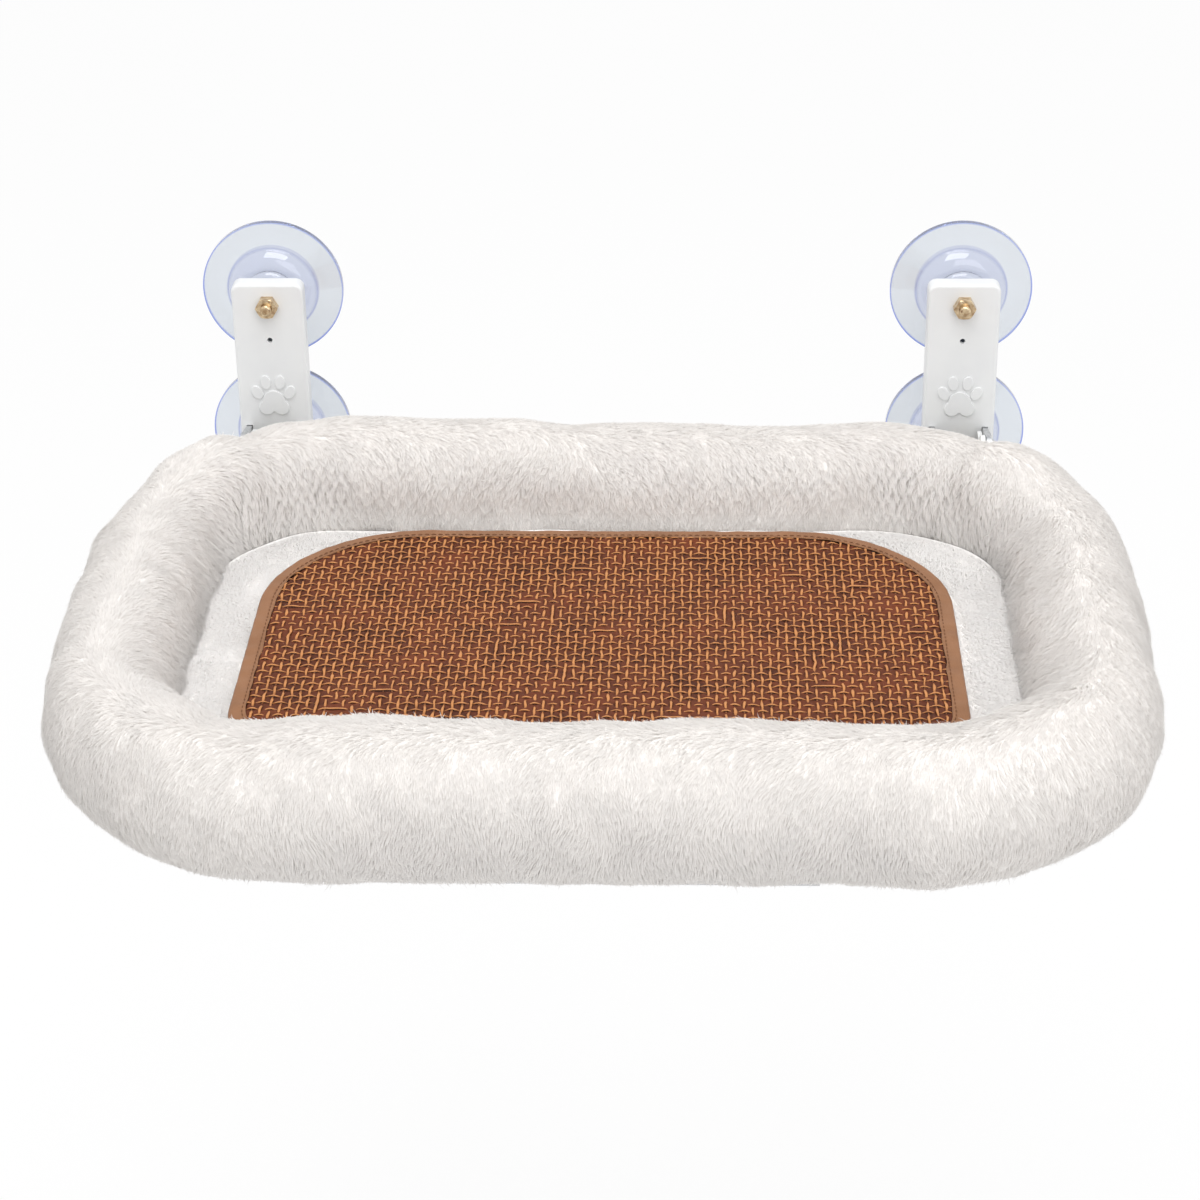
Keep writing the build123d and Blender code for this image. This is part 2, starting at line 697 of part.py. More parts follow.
# Fabric deck: a sheet over the frame, with four flaps that wrap the tubes and lap below it
lap_top = deck_top_drop + deck_thickness / 2
lap_bottom = deck_top_drop + deck_thickness + wrap_thickness
lap_reach = wrap_outer + lap_length
with BuildPart() as deck_fabric:
    with BuildSketch(Plane.XY.offset(-deck_top_drop)):
        with Locations((0, -bolster_centre_height)):
            RectangleRounded(2 * tube_half_width, 2 * tube_half_depth, tube_corner)
        for across in (-1, 1):
            for toward in (-1, 1):
                edge = toward * tube_half_depth - bolster_centre_height
                with Locations((across * tie_half_spacing, edge)):
                    Rectangle(tie_width + 2 * notch_margin, 2 * notch_depth, mode=Mode.SUBTRACT)
    extrude(amount=-deck_thickness)
    for toward in (-1, 1):
        tube_y = toward * tube_half_depth - bolster_centre_height
        with BuildSketch(Plane.YZ):
            with Locations((tube_y, -tube_drop)):
                Circle(wrap_outer)
            with Locations((tube_y - toward * lap_reach / 2, -(lap_top + lap_bottom) / 2)):
                Rectangle(lap_reach, lap_bottom - lap_top)
            with Locations((tube_y, -tube_drop)):
                Circle(wrap_inner, mode=Mode.SUBTRACT)
        extrude(amount=flap_half_length, both=True)
    for across in (-1, 1):
        with BuildSketch(glass_plane(bolster_centre_height)):
            with Locations((across * tube_half_width, -tube_drop)):
                Circle(wrap_outer)
            with Locations((across * (tube_half_width - lap_reach / 2), -(lap_top + lap_bottom) / 2)):
                Rectangle(lap_reach, lap_bottom - lap_top)
            with Locations((across * tube_half_width, -tube_drop)):
                Circle(wrap_inner, mode=Mode.SUBTRACT)
        extrude(amount=side_flap_half_length, both=True)
write(deck_fabric, "deck_fabric")

# Press studs along the laps
lap_middle = lap_reach * 2 / 3
snap_places = []
for toward in (-1, 1):
    snap_y = toward * (tube_half_depth - lap_middle) - bolster_centre_height
    for step in (-3, -1, 1, 3):
        snap_places.append((step * end_snap_step / 2, snap_y))
for across in (-1, 1):
    snap_x = across * (tube_half_width - lap_middle)
    snap_places.append((snap_x, -bolster_centre_height))
with BuildPart() as deck_snaps:
    with BuildSketch(Plane.XY.offset(-lap_bottom)):
        with Locations(*snap_places):
            Circle(snap_radius)
    extrude(amount=-snap_thickness)
    fillet(deck_snaps.edges().group_by(Axis.Z)[0], radius=snap_round)
write(deck_snaps, "deck_snaps")

# Elastic ties sewn under the bolster, looped round the front and rear tubes
for end, toward in (("rear", 1), ("front", -1)):
    for side, across in SIDES:
        with BuildPart() as bed_tie:
            with BuildSketch(Plane.YZ.offset(across * tie_half_spacing)):
                with Locations((toward * tube_half_depth - bolster_centre_height, -tube_drop)):
                    Circle(wrap_inner + tie_thickness)
                    Circle(wrap_inner, mode=Mode.SUBTRACT)
            extrude(amount=tie_width / 2, both=True)
        write(bed_tie, f"bed_tie_{end}_{side}")

# Bolster: the stuffing, and the plush cover sewn round it
with BuildPart() as bolster_fill:
    add(roll_half(bolster_cover_thickness + seat_gap))
    mirror(about=Plane.YZ)
write(bolster_fill, "bolster_fill")

with BuildPart() as bolster_cover:
    add(roll_half(0))
    add(roll_half(bolster_cover_thickness), mode=Mode.SUBTRACT)
    mirror(about=Plane.YZ)
write(bolster_cover, "bolster_cover")

# Pad in the middle of the bolster: a foam slab in a plush cover
pad_side = bolster_half_width - bolster_side_radius - seat_gap
pad_rear = bolster_half_depth - bolster_back_radius - seat_gap
pad_front = bolster_half_depth - bolster_front_radius - seat_gap
pad_middle = (pad_rear - pad_front) / 2 - bolster_centre_height
pad_corner = bolster_corner - bolster_side_radius + pad_corner_ease


def pad_slab(inset):
    """A slab with the pad's outline, drawn in by an inset all round, with rounded rims."""
    with BuildPart() as slab:
        with BuildSketch(Plane.XY.offset(inset - pad_bottom_drop)):
            with Locations((0, pad_middle)):
                RectangleRounded(2 * (pad_side - inset), pad_rear + pad_front - 2 * inset, pad_corner - inset)
        extrude(amount=pad_bottom_drop - pad_top_drop - 2 * inset)
        fillet(slab.edges().group_by(Axis.Z)[-1], radius=pad_edge_round - inset)
        fillet(slab.edges().group_by(Axis.Z)[0], radius=pad_base_round - inset)
    return slab.part


with BuildPart() as pad_cover:
    add(pad_slab(0))
    add(pad_slab(pad_cover_thickness), mode=Mode.SUBTRACT)
write(pad_cover, "pad_cover")

with BuildPart() as pad_foam:
    add(pad_slab(pad_cover_thickness + seat_gap))
write(pad_foam, "pad_foam")

# Woven mat: a woven top on a cloth backing, with its edge bound in tape
mat_half_width = pad_side - mat_side_margin
mat_depth = pad_rear + pad_front - mat_rear_margin - mat_front_margin
mat_middle = pad_middle + (mat_front_margin - mat_rear_margin) / 2
mat_bottom_drop = pad_top_drop - seat_gap
panel_bottom_drop = mat_bottom_drop - binding_thickness
weave_bottom_drop = panel_bottom_drop - mat_backing_thickness
weave_top_drop = weave_bottom_drop - mat_weave_thickness
panel_inset = binding_thickness + seat_gap


def mat_outline(inset):
    """The mat's outline, drawn in by an inset all round, with wide corners at the rear."""
    with BuildSketch() as outline:
        with Locations((0, mat_middle)):
            Rectangle(2 * (mat_half_width - inset), mat_depth - 2 * inset)
        fillet(outline.vertices().group_by(Axis.Y)[-1], radius=mat_rear_corner - inset)
        fillet(outline.vertices().group_by(Axis.Y)[0], radius=mat_front_corner - inset)
    return outline.sketch


for name, bottom, thickness in (
    ("mat_backing", panel_bottom_drop, mat_backing_thickness),
    ("mat_weave", weave_bottom_drop, mat_weave_thickness),
):
    with BuildPart() as mat_layer:
        with BuildSketch(Plane.XY.offset(-bottom)):
            add(mat_outline(panel_inset))
        extrude(amount=thickness)
    write(mat_layer, name)

with BuildPart() as mat_binding:
    with BuildSketch(Plane.XY.offset(-mat_bottom_drop)):
        add(mat_outline(0))
        add(mat_outline(binding_width), mode=Mode.SUBTRACT)
    extrude(amount=mat_bottom_drop - weave_top_drop + binding_thickness)
    with BuildSketch(Plane.XY.offset(-panel_bottom_drop)):
        add(mat_outline(binding_thickness))
    extrude(amount=panel_bottom_drop - weave_top_drop, mode=Mode.SUBTRACT)
write(mat_binding, "mat_binding")
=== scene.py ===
"""Looks of a folding window perch for a cat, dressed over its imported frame.

Lengths are in metres. X runs to the right, Y towards the window and Z up, and the origin is on the
glass between the four suction cups. The bed is a stuffed roll with a long pile round a plush pad
with a woven mat. Two brackets carry it on hinges.
"""
import logging
import math
from dataclasses import dataclass, field
from enum import Enum

import bpy
import numpy as np
from mathutils import Matrix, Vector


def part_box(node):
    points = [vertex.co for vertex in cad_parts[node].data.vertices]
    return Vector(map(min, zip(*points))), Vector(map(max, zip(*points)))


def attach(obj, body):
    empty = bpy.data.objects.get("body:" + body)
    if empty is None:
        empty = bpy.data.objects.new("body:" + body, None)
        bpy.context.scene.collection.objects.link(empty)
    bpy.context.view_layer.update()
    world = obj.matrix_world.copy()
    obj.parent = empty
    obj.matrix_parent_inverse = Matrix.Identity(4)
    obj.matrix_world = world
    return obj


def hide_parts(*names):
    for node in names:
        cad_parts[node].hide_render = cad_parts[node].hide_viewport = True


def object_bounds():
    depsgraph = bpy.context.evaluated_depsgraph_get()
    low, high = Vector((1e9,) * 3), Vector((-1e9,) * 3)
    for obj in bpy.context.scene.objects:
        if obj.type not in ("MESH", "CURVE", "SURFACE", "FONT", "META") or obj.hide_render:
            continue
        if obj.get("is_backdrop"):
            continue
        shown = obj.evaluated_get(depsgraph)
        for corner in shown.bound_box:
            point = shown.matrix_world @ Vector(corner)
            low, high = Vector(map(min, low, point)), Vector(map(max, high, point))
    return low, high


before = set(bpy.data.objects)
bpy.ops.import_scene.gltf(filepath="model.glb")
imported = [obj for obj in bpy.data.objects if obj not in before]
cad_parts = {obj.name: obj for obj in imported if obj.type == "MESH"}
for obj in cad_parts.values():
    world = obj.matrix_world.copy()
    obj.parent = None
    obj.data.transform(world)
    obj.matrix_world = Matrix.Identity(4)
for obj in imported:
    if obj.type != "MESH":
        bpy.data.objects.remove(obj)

Array = np.ndarray
Colour = tuple[float, float, float]
Place = tuple[float, float, float]
Socket = bpy.types.NodeSocket
Material = bpy.types.Material
Finishes = dict[str, Material]
log = logging.getLogger("perch")
MM = 0.001
BED = "bed"  # the body that every dressed piece moves with


class Run(Enum):
    """The way a strand of the weave runs."""

    LENGTHWISE = "lengthwise"
    CROSSWISE = "crosswise"


def paint(red: int, green: int, blue: int) -> Colour:
    """A screen colour, 0 to 255 each, as linear light.

    A value c from 0 to 1 becomes ((c + 0.055) / 1.055) to the power 2.4, or c / 12.92 when dark.
    """
    values = np.array([red, green, blue]) / 255
    linear = np.where(values > 0.04045, ((values + 0.055) / 1.055) ** 2.4, values / 12.92)
    return tuple(linear.tolist())


@dataclass(frozen=True)
class Waves:
    """Smooth noise made of sine waves.

    The value at a point p is the height times the sum of sin(k.p + phase) over the waves, divided
    by the square root of half their number. Their directions k and phases come from the seed.
    """

    length: float
    seed: int
    height: float = 1.0
    count: int = 18

    def at(self, points: Array) -> Array:
        """Noise at points of shape (..., 3), with a spread of about the height."""
        dice = np.random.default_rng(self.seed)
        heading = dice.normal(size=(self.count, 3))
        heading /= np.linalg.norm(heading, axis=1, keepdims=True)
        heading *= 2 * math.pi / self.length * dice.uniform(0.65, 1.6, (self.count, 1))
        phase = dice.uniform(0, 2 * math.pi, self.count)
        total = np.sin(points @ heading.T + phase).sum(axis=-1)
        return self.height * (total / math.sqrt(self.count / 2))


def unit(vectors: Array) -> Array:
    """Vectors scaled to a length of one."""
    return vectors / np.maximum(np.linalg.norm(vectors, axis=-1, keepdims=True), 1e-12)


def between(value: Array, start: float, end: float) -> Array:
    """How far a value has come from start to end, from 0 to 1."""
    return np.clip((value - start) / (end - start), 0, 1)


def joined(*parts: Array | float) -> Array:
    """Arrays spread to one shape and stacked as a last axis."""
    return np.stack(np.broadcast_arrays(*parts), axis=-1)


def circle(count: int) -> Array:
    """Angles of points evenly spaced round a circle."""
    return np.arange(count) / count * 2 * math.pi


def walked(points: Array) -> Array:
    """The length walked along a path to each of its points."""
    return np.concatenate([[0], np.cumsum(np.linalg.norm(np.diff(points, axis=0), axis=1))])


def grid_quads(rows: int, columns: int, close_rows: bool, close_columns: bool) -> Array:
    """Corners of the quads between the points of a grid stored row by row.

    Args:
        rows: Number of rows of points.
        columns: Number of points in a row.
        close_rows: Whether the last row joins the first.
        close_columns: Whether a row's last point joins its first.

    Returns:
        An array of shape (quads, 4).
    """
    row = np.arange(rows if close_rows else rows - 1)[:, None]
    column = np.arange(columns if close_columns else columns - 1)[None, :]
    below, right = (row + 1) % rows, (column + 1) % columns
    here, under = row * columns, below * columns
    return joined(here + column, here + right, under + right, under + column).reshape(-1, 4)


def rod_faces(points: Array, flip: bool = False) -> list[Array]:
    """Faces of closed rods, each a run of rings of points with a cap at both ends.

    Args:
        points: Points of shape (rods, rings, sides, 3).
        flip: Whether to turn every face round.

    Returns:
        The walls' quads and the caps.
    """
    rods, rings, sides = points.shape[:3]
    start = np.arange(rods)[:, None] * rings * sides
    first = start + np.arange(sides)
    wall = (start[:, None] + grid_quads(rings, sides, False, True)).reshape(-1, 4)
    faces = [wall, first, first[:, ::-1] + (rings - 1) * sides]
    return [face[:, ::-1] for face in faces] if flip else faces


@dataclass
class Surface:
    """Points and faces of a piece, with its texture coordinates."""

    points: Array
    faces: list[Array]
    maps: dict[str, Array] = field(default_factory=dict)
    normals: Array | None = None

    @classmethod
    def on_grid(
        cls, points: Array, close_rows: bool, close_columns: bool, flip: bool = False,
        **maps: Array,
    ) -> "Surface":
        """A surface on a grid of points.

        Args:
            points: Points of shape (rows, columns, 3).
            close_rows: Whether the last row joins the first.
            close_columns: Whether a row's last point joins its first.
            flip: Whether to turn the faces round.
            **maps: Map places of shape (rows, columns, 2), by the map's name.

        Returns:
            The surface.
        """
        quads = grid_quads(*points.shape[:2], close_rows, close_columns)
        flat = {title: places.reshape(-1, 2) for title, places in maps.items()}
        return cls(points.reshape(-1, 3), [quads[:, ::-1] if flip else quads], flat)

    def place(self, name: str) -> bpy.types.Object:
        """Makes the mesh, and an object of the same name in the scene that holds it."""
        corners = np.concatenate([f.ravel() for f in self.faces]).astype(np.int32)
        sizes = np.concatenate([np.full(len(f), f.shape[1]) for f in self.faces])
        mesh = bpy.data.meshes.new(name)
        mesh.vertices.add(len(self.points))
        mesh.vertices.foreach_set("co", self.points.astype(np.float32).ravel())
        mesh.loops.add(len(corners))
        mesh.loops.foreach_set("vertex_index", corners)
        mesh.polygons.add(len(sizes))
        starts = np.concatenate(([0], np.cumsum(sizes)[:-1])).astype(np.int32)
        mesh.polygons.foreach_set("loop_start", starts)
        mesh.update(calc_edges=True)
        mesh.polygons.foreach_set("use_smooth", np.ones(len(sizes), dtype=bool))
        for title, places in self.maps.items():
            layer = mesh.uv_layers.new(name=title)
            layer.uv.foreach_set("vector", places[corners].astype(np.float32).ravel())
        if self.normals is not None:
            mesh.normals_split_custom_set_from_vertices(self.normals.astype(np.float32))
        thing = bpy.data.objects.new(name, mesh)
        bpy.context.scene.collection.objects.link(thing)
        return thing

    def piece(
        self, name: str, material: Material, slot: str, node: str | None = None
    ) -> bpy.types.Object:
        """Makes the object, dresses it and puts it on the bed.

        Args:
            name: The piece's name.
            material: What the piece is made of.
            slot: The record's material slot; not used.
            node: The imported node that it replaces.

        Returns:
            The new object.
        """
        thing = self.place(name)
        thing.data.materials.append(material)
        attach(thing, BED)
        if node:
            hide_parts(node)
        log.info("%s: %d points, %d faces", name, len(self.points), len(thing.data.polygons))
        return thing


class Nodes:
    """Short ways to add nodes to a tree and to join them."""

    def __init__(self, tree: bpy.types.NodeTree) -> None:
        """Takes the tree."""
        self.tree = tree

    def add(
        self, kind: str, values: dict[str, object] | None = None, **settings: object
    ) -> bpy.types.Node:
        """Adds a node.

        Args:
            kind: The node's type.
            values: Values of its inputs, by name, or a socket to join to that input.
            **settings: Its own settings, such as its operation.

        Returns:
            The node.
        """
        made = self.tree.nodes.new(kind)
        for title, value in settings.items():
            setattr(made, title, value)
        for title, value in (values or {}).items():
            self.put(made.inputs[title], value)
        return made

    def put(self, socket: Socket, value: object) -> None:
        """Sets an input, or joins it to another node's output."""
        if isinstance(value, Socket):
            self.tree.links.new(value, socket)
        else:
            socket.default_value = value

    def math(self, operation: str, *values: object) -> Socket:
        """One step of arithmetic."""
        made = self.add("ShaderNodeMath", operation=operation)
        for socket, value in zip(made.inputs, values):
            self.put(socket, value)
        return made.outputs["Value"]

    def line(self, value: Socket, factor: float, offset: object = 0.0) -> Socket:
        """A value times a factor, plus an offset."""
        return self.math("MULTIPLY_ADD", value, factor, offset)

    def mix(self, share: object, first: Socket, second: Socket) -> Socket:
        """Two shaders mixed by the share of the second."""
        made = self.add("ShaderNodeMixShader", {"Fac": share})
        self.put(made.inputs[1], first)
        self.put(made.inputs[2], second)
        return made.outputs["Shader"]

    def seen(self) -> Socket:
        """One for rays from the camera, off a gloss or through something clear."""
        rays = self.add("ShaderNodeLightPath").outputs
        direct = self.math("MAXIMUM", rays["Is Camera Ray"], rays["Is Glossy Ray"])
        return self.math("MAXIMUM", direct, rays["Is Transmission Ray"])

    def where(self) -> Socket:
        """The point's place on the object, in metres."""
        return self.add("ShaderNodeTexCoord").outputs["Object"]

    def drawn(self, uv_map: str) -> Socket:
        """The point's place on one of the piece's own maps."""
        return self.add("ShaderNodeUVMap", uv_map=uv_map).outputs["UV"]

    def split(self, vector: Socket) -> tuple[Socket, Socket, Socket]:
        """A vector's three parts."""
        parts = self.add("ShaderNodeSeparateXYZ", {"Vector": vector}).outputs
        return parts["X"], parts["Y"], parts["Z"]

    def noise(self, vector: Socket, scale: float, detail: float = 3.0) -> Socket:
        """Noise of about scale lumps for each unit of the vector."""
        values = {"Vector": vector, "Scale": scale, "Detail": detail}
        return self.add("ShaderNodeTexNoise", values).outputs["Fac"]

    def ramp(self, factor: Socket, *stops: tuple[float, Colour]) -> Socket:
        """Colours along a value from 0 to 1."""
        made = self.add("ShaderNodeValToRGB", {"Fac": factor})
        elements = made.color_ramp.elements
        elements[0].position, elements[-1].position = stops[0][0], stops[-1][0]
        elements[0].color, elements[-1].color = (*stops[0][1], 1), (*stops[-1][1], 1)
        for position, colour in stops[1:-1]:
            elements.new(position).color = (*colour, 1)
        return made.outputs["Color"]


class Recipe(Nodes):
    """A new material's nodes, with its main shader."""

    def __init__(self, name: str) -> None:
        """Makes the material."""
        self.material = bpy.data.materials.new(name)
        self.material.use_nodes = True
        super().__init__(self.material.node_tree)
        self.shader = self.tree.nodes["Principled BSDF"]

    def set(self, **values: object) -> None:
        """Sets inputs of the main shader, with underscores for the spaces in their names."""
        for title, value in values.items():
            self.put(self.shader.inputs[title.replace("_", " ")], value)

    def bump(self, height: Socket, strength: float, depth: float) -> None:
        """Joins a bump, whose depth is in metres, to the main shader."""
        values = {"Strength": strength, "Distance": depth, "Height": height}
        self.set(Normal=self.add("ShaderNodeBump", values).outputs["Normal"])

    def output(self, shader: Socket) -> None:
        """Shows a shader in place of the main one."""
        self.put(self.tree.nodes["Material Output"].inputs["Surface"], shader)

    def through(self, share: float) -> None:
        """Lets a share of the light through a thin sheet, in the main shader's own colour."""
        colour = self.shader.inputs["Base Color"].links[0].from_socket
        thin = self.add("ShaderNodeBsdfTranslucent", {"Color": colour})
        self.output(self.mix(share, self.shader.outputs["BSDF"], thin.outputs["BSDF"]))


@dataclass(frozen=True)
class Plush:
    """Backing of a pile fabric, seen between its fibres."""

    name: str
    light: Colour
    shade: Colour

    def build(self) -> Material:
        """Mottled fabric with a fine lumpy relief."""
        recipe = Recipe(self.name)
        tufts = recipe.noise(recipe.where(), scale=260.0, detail=4.0)
        recipe.set(Base_Color=recipe.ramp(tufts, (0.3, self.shade), (0.62, self.light)))
        recipe.set(Roughness=0.95, Sheen_Weight=0.25, Sheen_Roughness=0.6, Specular_IOR_Level=0.1)
        recipe.bump(tufts, strength=0.5, depth=1.2 * MM)
        return recipe.material


@dataclass(frozen=True)
class Fibre:
    """Fibres of a pile, painted a little darker at the root than at the tip: painted shade at the
    roots.
    """

    name: str
    root: Colour
    tip: Colour
    tint: float = 0.35
    early: float = 0.65
    clear: float = 0.42

    def build(self) -> Material:
        """A ramp from painted root shade to the tip's colour, with a tint that differs from fibre
        to fibre.
        """
        recipe = Recipe(self.name)
        own, along, _ = recipe.split(recipe.drawn("fibre"))
        mixed = recipe.line(recipe.line(own, self.tint, along), 1 / (1 + self.tint))
        middle = tuple((1 - self.early) * r + self.early * t for r, t in zip(self.root, self.tip))
        stops = (0.05, self.root), (0.55, middle), (1.1 / (1 + self.tint), self.tip)
        recipe.set(Base_Color=recipe.ramp(mixed, *stops), Roughness=0.85)
        recipe.set(Sheen_Weight=0.2, Sheen_Roughness=0.5, Specular_IOR_Level=0.1)
        recipe.through(self.clear)
        return recipe.material


@dataclass(frozen=True)
class Strand:
    """Flat plant fibre of the mat: streaks along it, spots of stain, a painted highlight on top and
    painted shade low down.
    """

    name: str
    light: Colour
    dark: Colour
    low: float
    high: float
    rough: float

    def build(self) -> Material:
        """Streaks drawn out along the strand, and painted light: paler by the share of the height
        from low to high.
        """
        recipe = Recipe(self.name)
        place = recipe.where()
        streaks = recipe.noise(recipe.drawn("strand"), scale=6.0, detail=4.0)
        stains = recipe.noise(place, scale=95.0, detail=2.0)
        # Painted light: the higher the point lies between low and high, the paler its colour.
        values = {"Value": recipe.split(place)[2], "From Min": self.low, "From Max": self.high}
        painted_crest_light = recipe.add("ShaderNodeMapRange", values).outputs["Result"]
        both = recipe.line(recipe.math("ADD", streaks, stains), 0.42, recipe.line(painted_crest_light, 0.34))
        recipe.set(Base_Color=recipe.ramp(both, (0.36, self.dark), (0.74, self.light)))
        recipe.set(Roughness=self.rough, Specular_IOR_Level=0.2)
        recipe.bump(streaks, strength=0.35, depth=0.25 * MM)
        return recipe.material


@dataclass(frozen=True)
class Cloth:
    """Plain or twill woven cloth, ruled by the piece's own map in metres."""

    name: str
    colour: Colour
    shade: Colour
    pitch: float
    slant: float = 0.0

    def build(self) -> Material:
        """Warp and weft as crossed waves, or the slanted weft alone in twill, with cloudy wear."""
        recipe = Recipe(self.name)
        x, y, _ = recipe.split(recipe.drawn("cloth"))
        turns = 2 * math.pi / self.pitch
        wave = recipe.math("SINE", recipe.line(recipe.line(x, self.slant, y), turns))
        if not self.slant:
            wave = recipe.math("MULTIPLY", recipe.math("SINE", recipe.line(x, turns)), wave)
        weave = recipe.line(wave, 0.25, 0.5)
        clouds = recipe.noise(recipe.where(), scale=60.0, detail=4.0)
        worn = recipe.line(weave, 0.45, recipe.line(clouds, 0.55))
        recipe.set(Base_Color=recipe.ramp(worn, (0.3, self.shade), (0.62, self.colour)))
        recipe.set(Roughness=0.85, Sheen_Weight=0.15, Specular_IOR_Level=0.2)
        recipe.bump(weave, strength=0.5, depth=0.3 * MM)
        return recipe.material


@dataclass(frozen=True)
class Moulding:
    """Satin plastic or rubber with a fine moulded grain."""

    name: str
    colour: Colour
    shade: Colour
    rough: float
    grain: float = 900.0

    def build(self) -> Material:
        """Faint clouds in the colour, a grain in the relief and smudges in the gloss."""
        recipe = Recipe(self.name)
        place = recipe.where()
        clouds = recipe.noise(place, scale=38.0)
        recipe.set(Base_Color=recipe.ramp(clouds, (0.3, self.shade), (0.7, self.colour)))
        smudge = recipe.noise(place, scale=70.0)
        recipe.set(Roughness=recipe.line(smudge, 0.12, self.rough - 0.06))
        recipe.bump(recipe.noise(place, self.grain, 2.0), strength=0.12, depth=0.12 * MM)
        return recipe.material


@dataclass(frozen=True)
class Metal:
    """Plated metal with drawn marks and tarnish."""

    name: str
    bright: Colour
    dull: Colour
    rough: float

    def build(self) -> Material:
        """Tarnish in the colour and fine marks in the gloss and relief."""
        recipe = Recipe(self.name)
        place = recipe.where()
        tarnish = recipe.noise(place, scale=420.0, detail=4.0)
        recipe.set(Base_Color=recipe.ramp(tarnish, (0.32, self.dull), (0.6, self.bright)))
        marks = recipe.noise(place, scale=2400.0, detail=2.0)
        recipe.set(Roughness=recipe.line(marks, 0.2, self.rough - 0.1), Metallic=1.0)
        recipe.bump(marks, strength=0.15, depth=0.05 * MM)
        return recipe.material


@dataclass(frozen=True)
class Vinyl:
    """Clear soft vinyl, tinted blue towards a cup's rim."""

    name: str
    dome: Colour
    step: Colour
    flange: Colour
    rim: Colour
    centres: tuple[tuple[float, float], ...]
    radius: float
    dome_share: float = 0.64

    def build(self) -> Material:
        """A tint by the distance from the nearest cup's axis: sqrt((x - a)^2 + (z - b)^2) / r."""
        recipe = Recipe(self.name)
        place = recipe.where()
        x, _, z = recipe.split(place)
        nearest: Socket | float = 1.0
        for middle_x, middle_z in self.centres:
            across = recipe.math("POWER", recipe.math("SUBTRACT", x, middle_x), 2.0)
            up = recipe.math("POWER", recipe.math("SUBTRACT", z, middle_z), 2.0)
            distance = recipe.math("SQRT", recipe.math("ADD", across, up))
            nearest = recipe.math("MINIMUM", distance, nearest)
        edge = self.dome_share
        tint = recipe.ramp(
            recipe.line(nearest, 1 / self.radius),
            (0.0, self.dome), (edge - 0.03, self.dome), (edge, self.step),
            (edge + 0.02, self.flange), (0.972, self.flange), (0.998, self.rim),
        )
        recipe.set(Base_Color=tint, Roughness=0.05, IOR=1.45)
        recipe.set(Transmission_Weight=0.9, Coat_Weight=1.0, Coat_Roughness=0.04)
        recipe.bump(recipe.noise(place, scale=55.0, detail=2.0), strength=0.12, depth=0.6 * MM)
        return recipe.material


def clear_vinyl() -> Vinyl:
    """The cups' finish, with their axes and radius taken from the frame."""
    names = ("upper_left", "upper_right", "lower_left", "lower_right")
    cups = [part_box(f"suction_cup_{name}") for name in names]
    centres = tuple(((low[0] + high[0]) / 2, (low[2] + high[2]) / 2) for low, high in cups)
    radius = (cups[0][1][0] - cups[0][0][0]) / 2
    tints = paint(212, 218, 236), paint(178, 186, 222), paint(229, 234, 240), paint(112, 138, 232)
    return Vinyl("clear_vinyl", *tints, centres, radius)


def all_finishes() -> Finishes:
    """Every finish of the perch by name, built once. Painted light on the weave counts from the
    mat's top.
    """
    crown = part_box("mat_weave")[1][2]
    # Heights over which the weave's painted shade turns to a painted highlight.
    heights = crown - 0.6 * MM, crown + 0.5 * MM
    kinds = (
        # The backings are painted a little darker and warmer than the fibre tips: painted shade at
        # the pile's roots. Each fibre's root colour is painted shade too.
        Plush("long_plush_backing", paint(239, 236, 233), paint(228, 224, 221)),
        Fibre("long_plush_fibre", paint(236, 233, 230), paint(250, 248, 246)),
        Plush("short_plush_backing", paint(248, 246, 244), paint(242, 239, 237)),
        Fibre("short_plush_fibre", paint(246, 244, 242), paint(252, 251, 250)),
        Plush("polyester_stuffing", paint(240, 240, 238), paint(225, 225, 222)),
        Plush("pad_foam", paint(236, 231, 212), paint(222, 214, 190)),
        # The weave's colours run from painted shade in the low parts to a painted highlight on the
        # high parts, mixed with streaks and stains.
        Strand("weave_base", paint(110, 53, 26), paint(54, 25, 13), *heights, 0.6),
        Strand("weave_strand", paint(198, 136, 84), paint(122, 68, 36), *heights, 0.45),
        Cloth("binding_tape", paint(151, 107, 75), paint(130, 90, 61), 0.9 * MM, 0.8),
        Strand("stitch_thread", paint(118, 78, 52), paint(80, 50, 32), *heights, 0.6),
        Plush("mat_backing_cloth", paint(96, 58, 38), paint(70, 40, 26)),
        Cloth("deck_canvas", paint(206, 206, 207), paint(184, 184, 186), 0.9 * MM),
        Cloth("tie_elastic", paint(236, 235, 232), paint(208, 207, 204), 1.2 * MM),
        Moulding("bracket_plastic", paint(230, 231, 231), paint(225, 226, 227), 0.4),
        Moulding("bush_nylon", paint(228, 226, 216), paint(214, 211, 200), 0.5),
        Moulding("coated_steel", paint(236, 237, 236), paint(228, 229, 229), 0.38, 650.0),
        Moulding("heel_rubber", paint(84, 84, 86), paint(66, 66, 68), 0.75),
        Metal("zinc_plating", paint(214, 215, 216), paint(184, 186, 189), 0.34),
        Metal("brass_plating", paint(226, 206, 172), paint(172, 142, 108), 0.22),
        Metal("burnished_steel", paint(70, 76, 84), paint(44, 48, 54), 0.4),
        clear_vinyl(),
    )
    return {kind.name: kind.build() for kind in kinds}


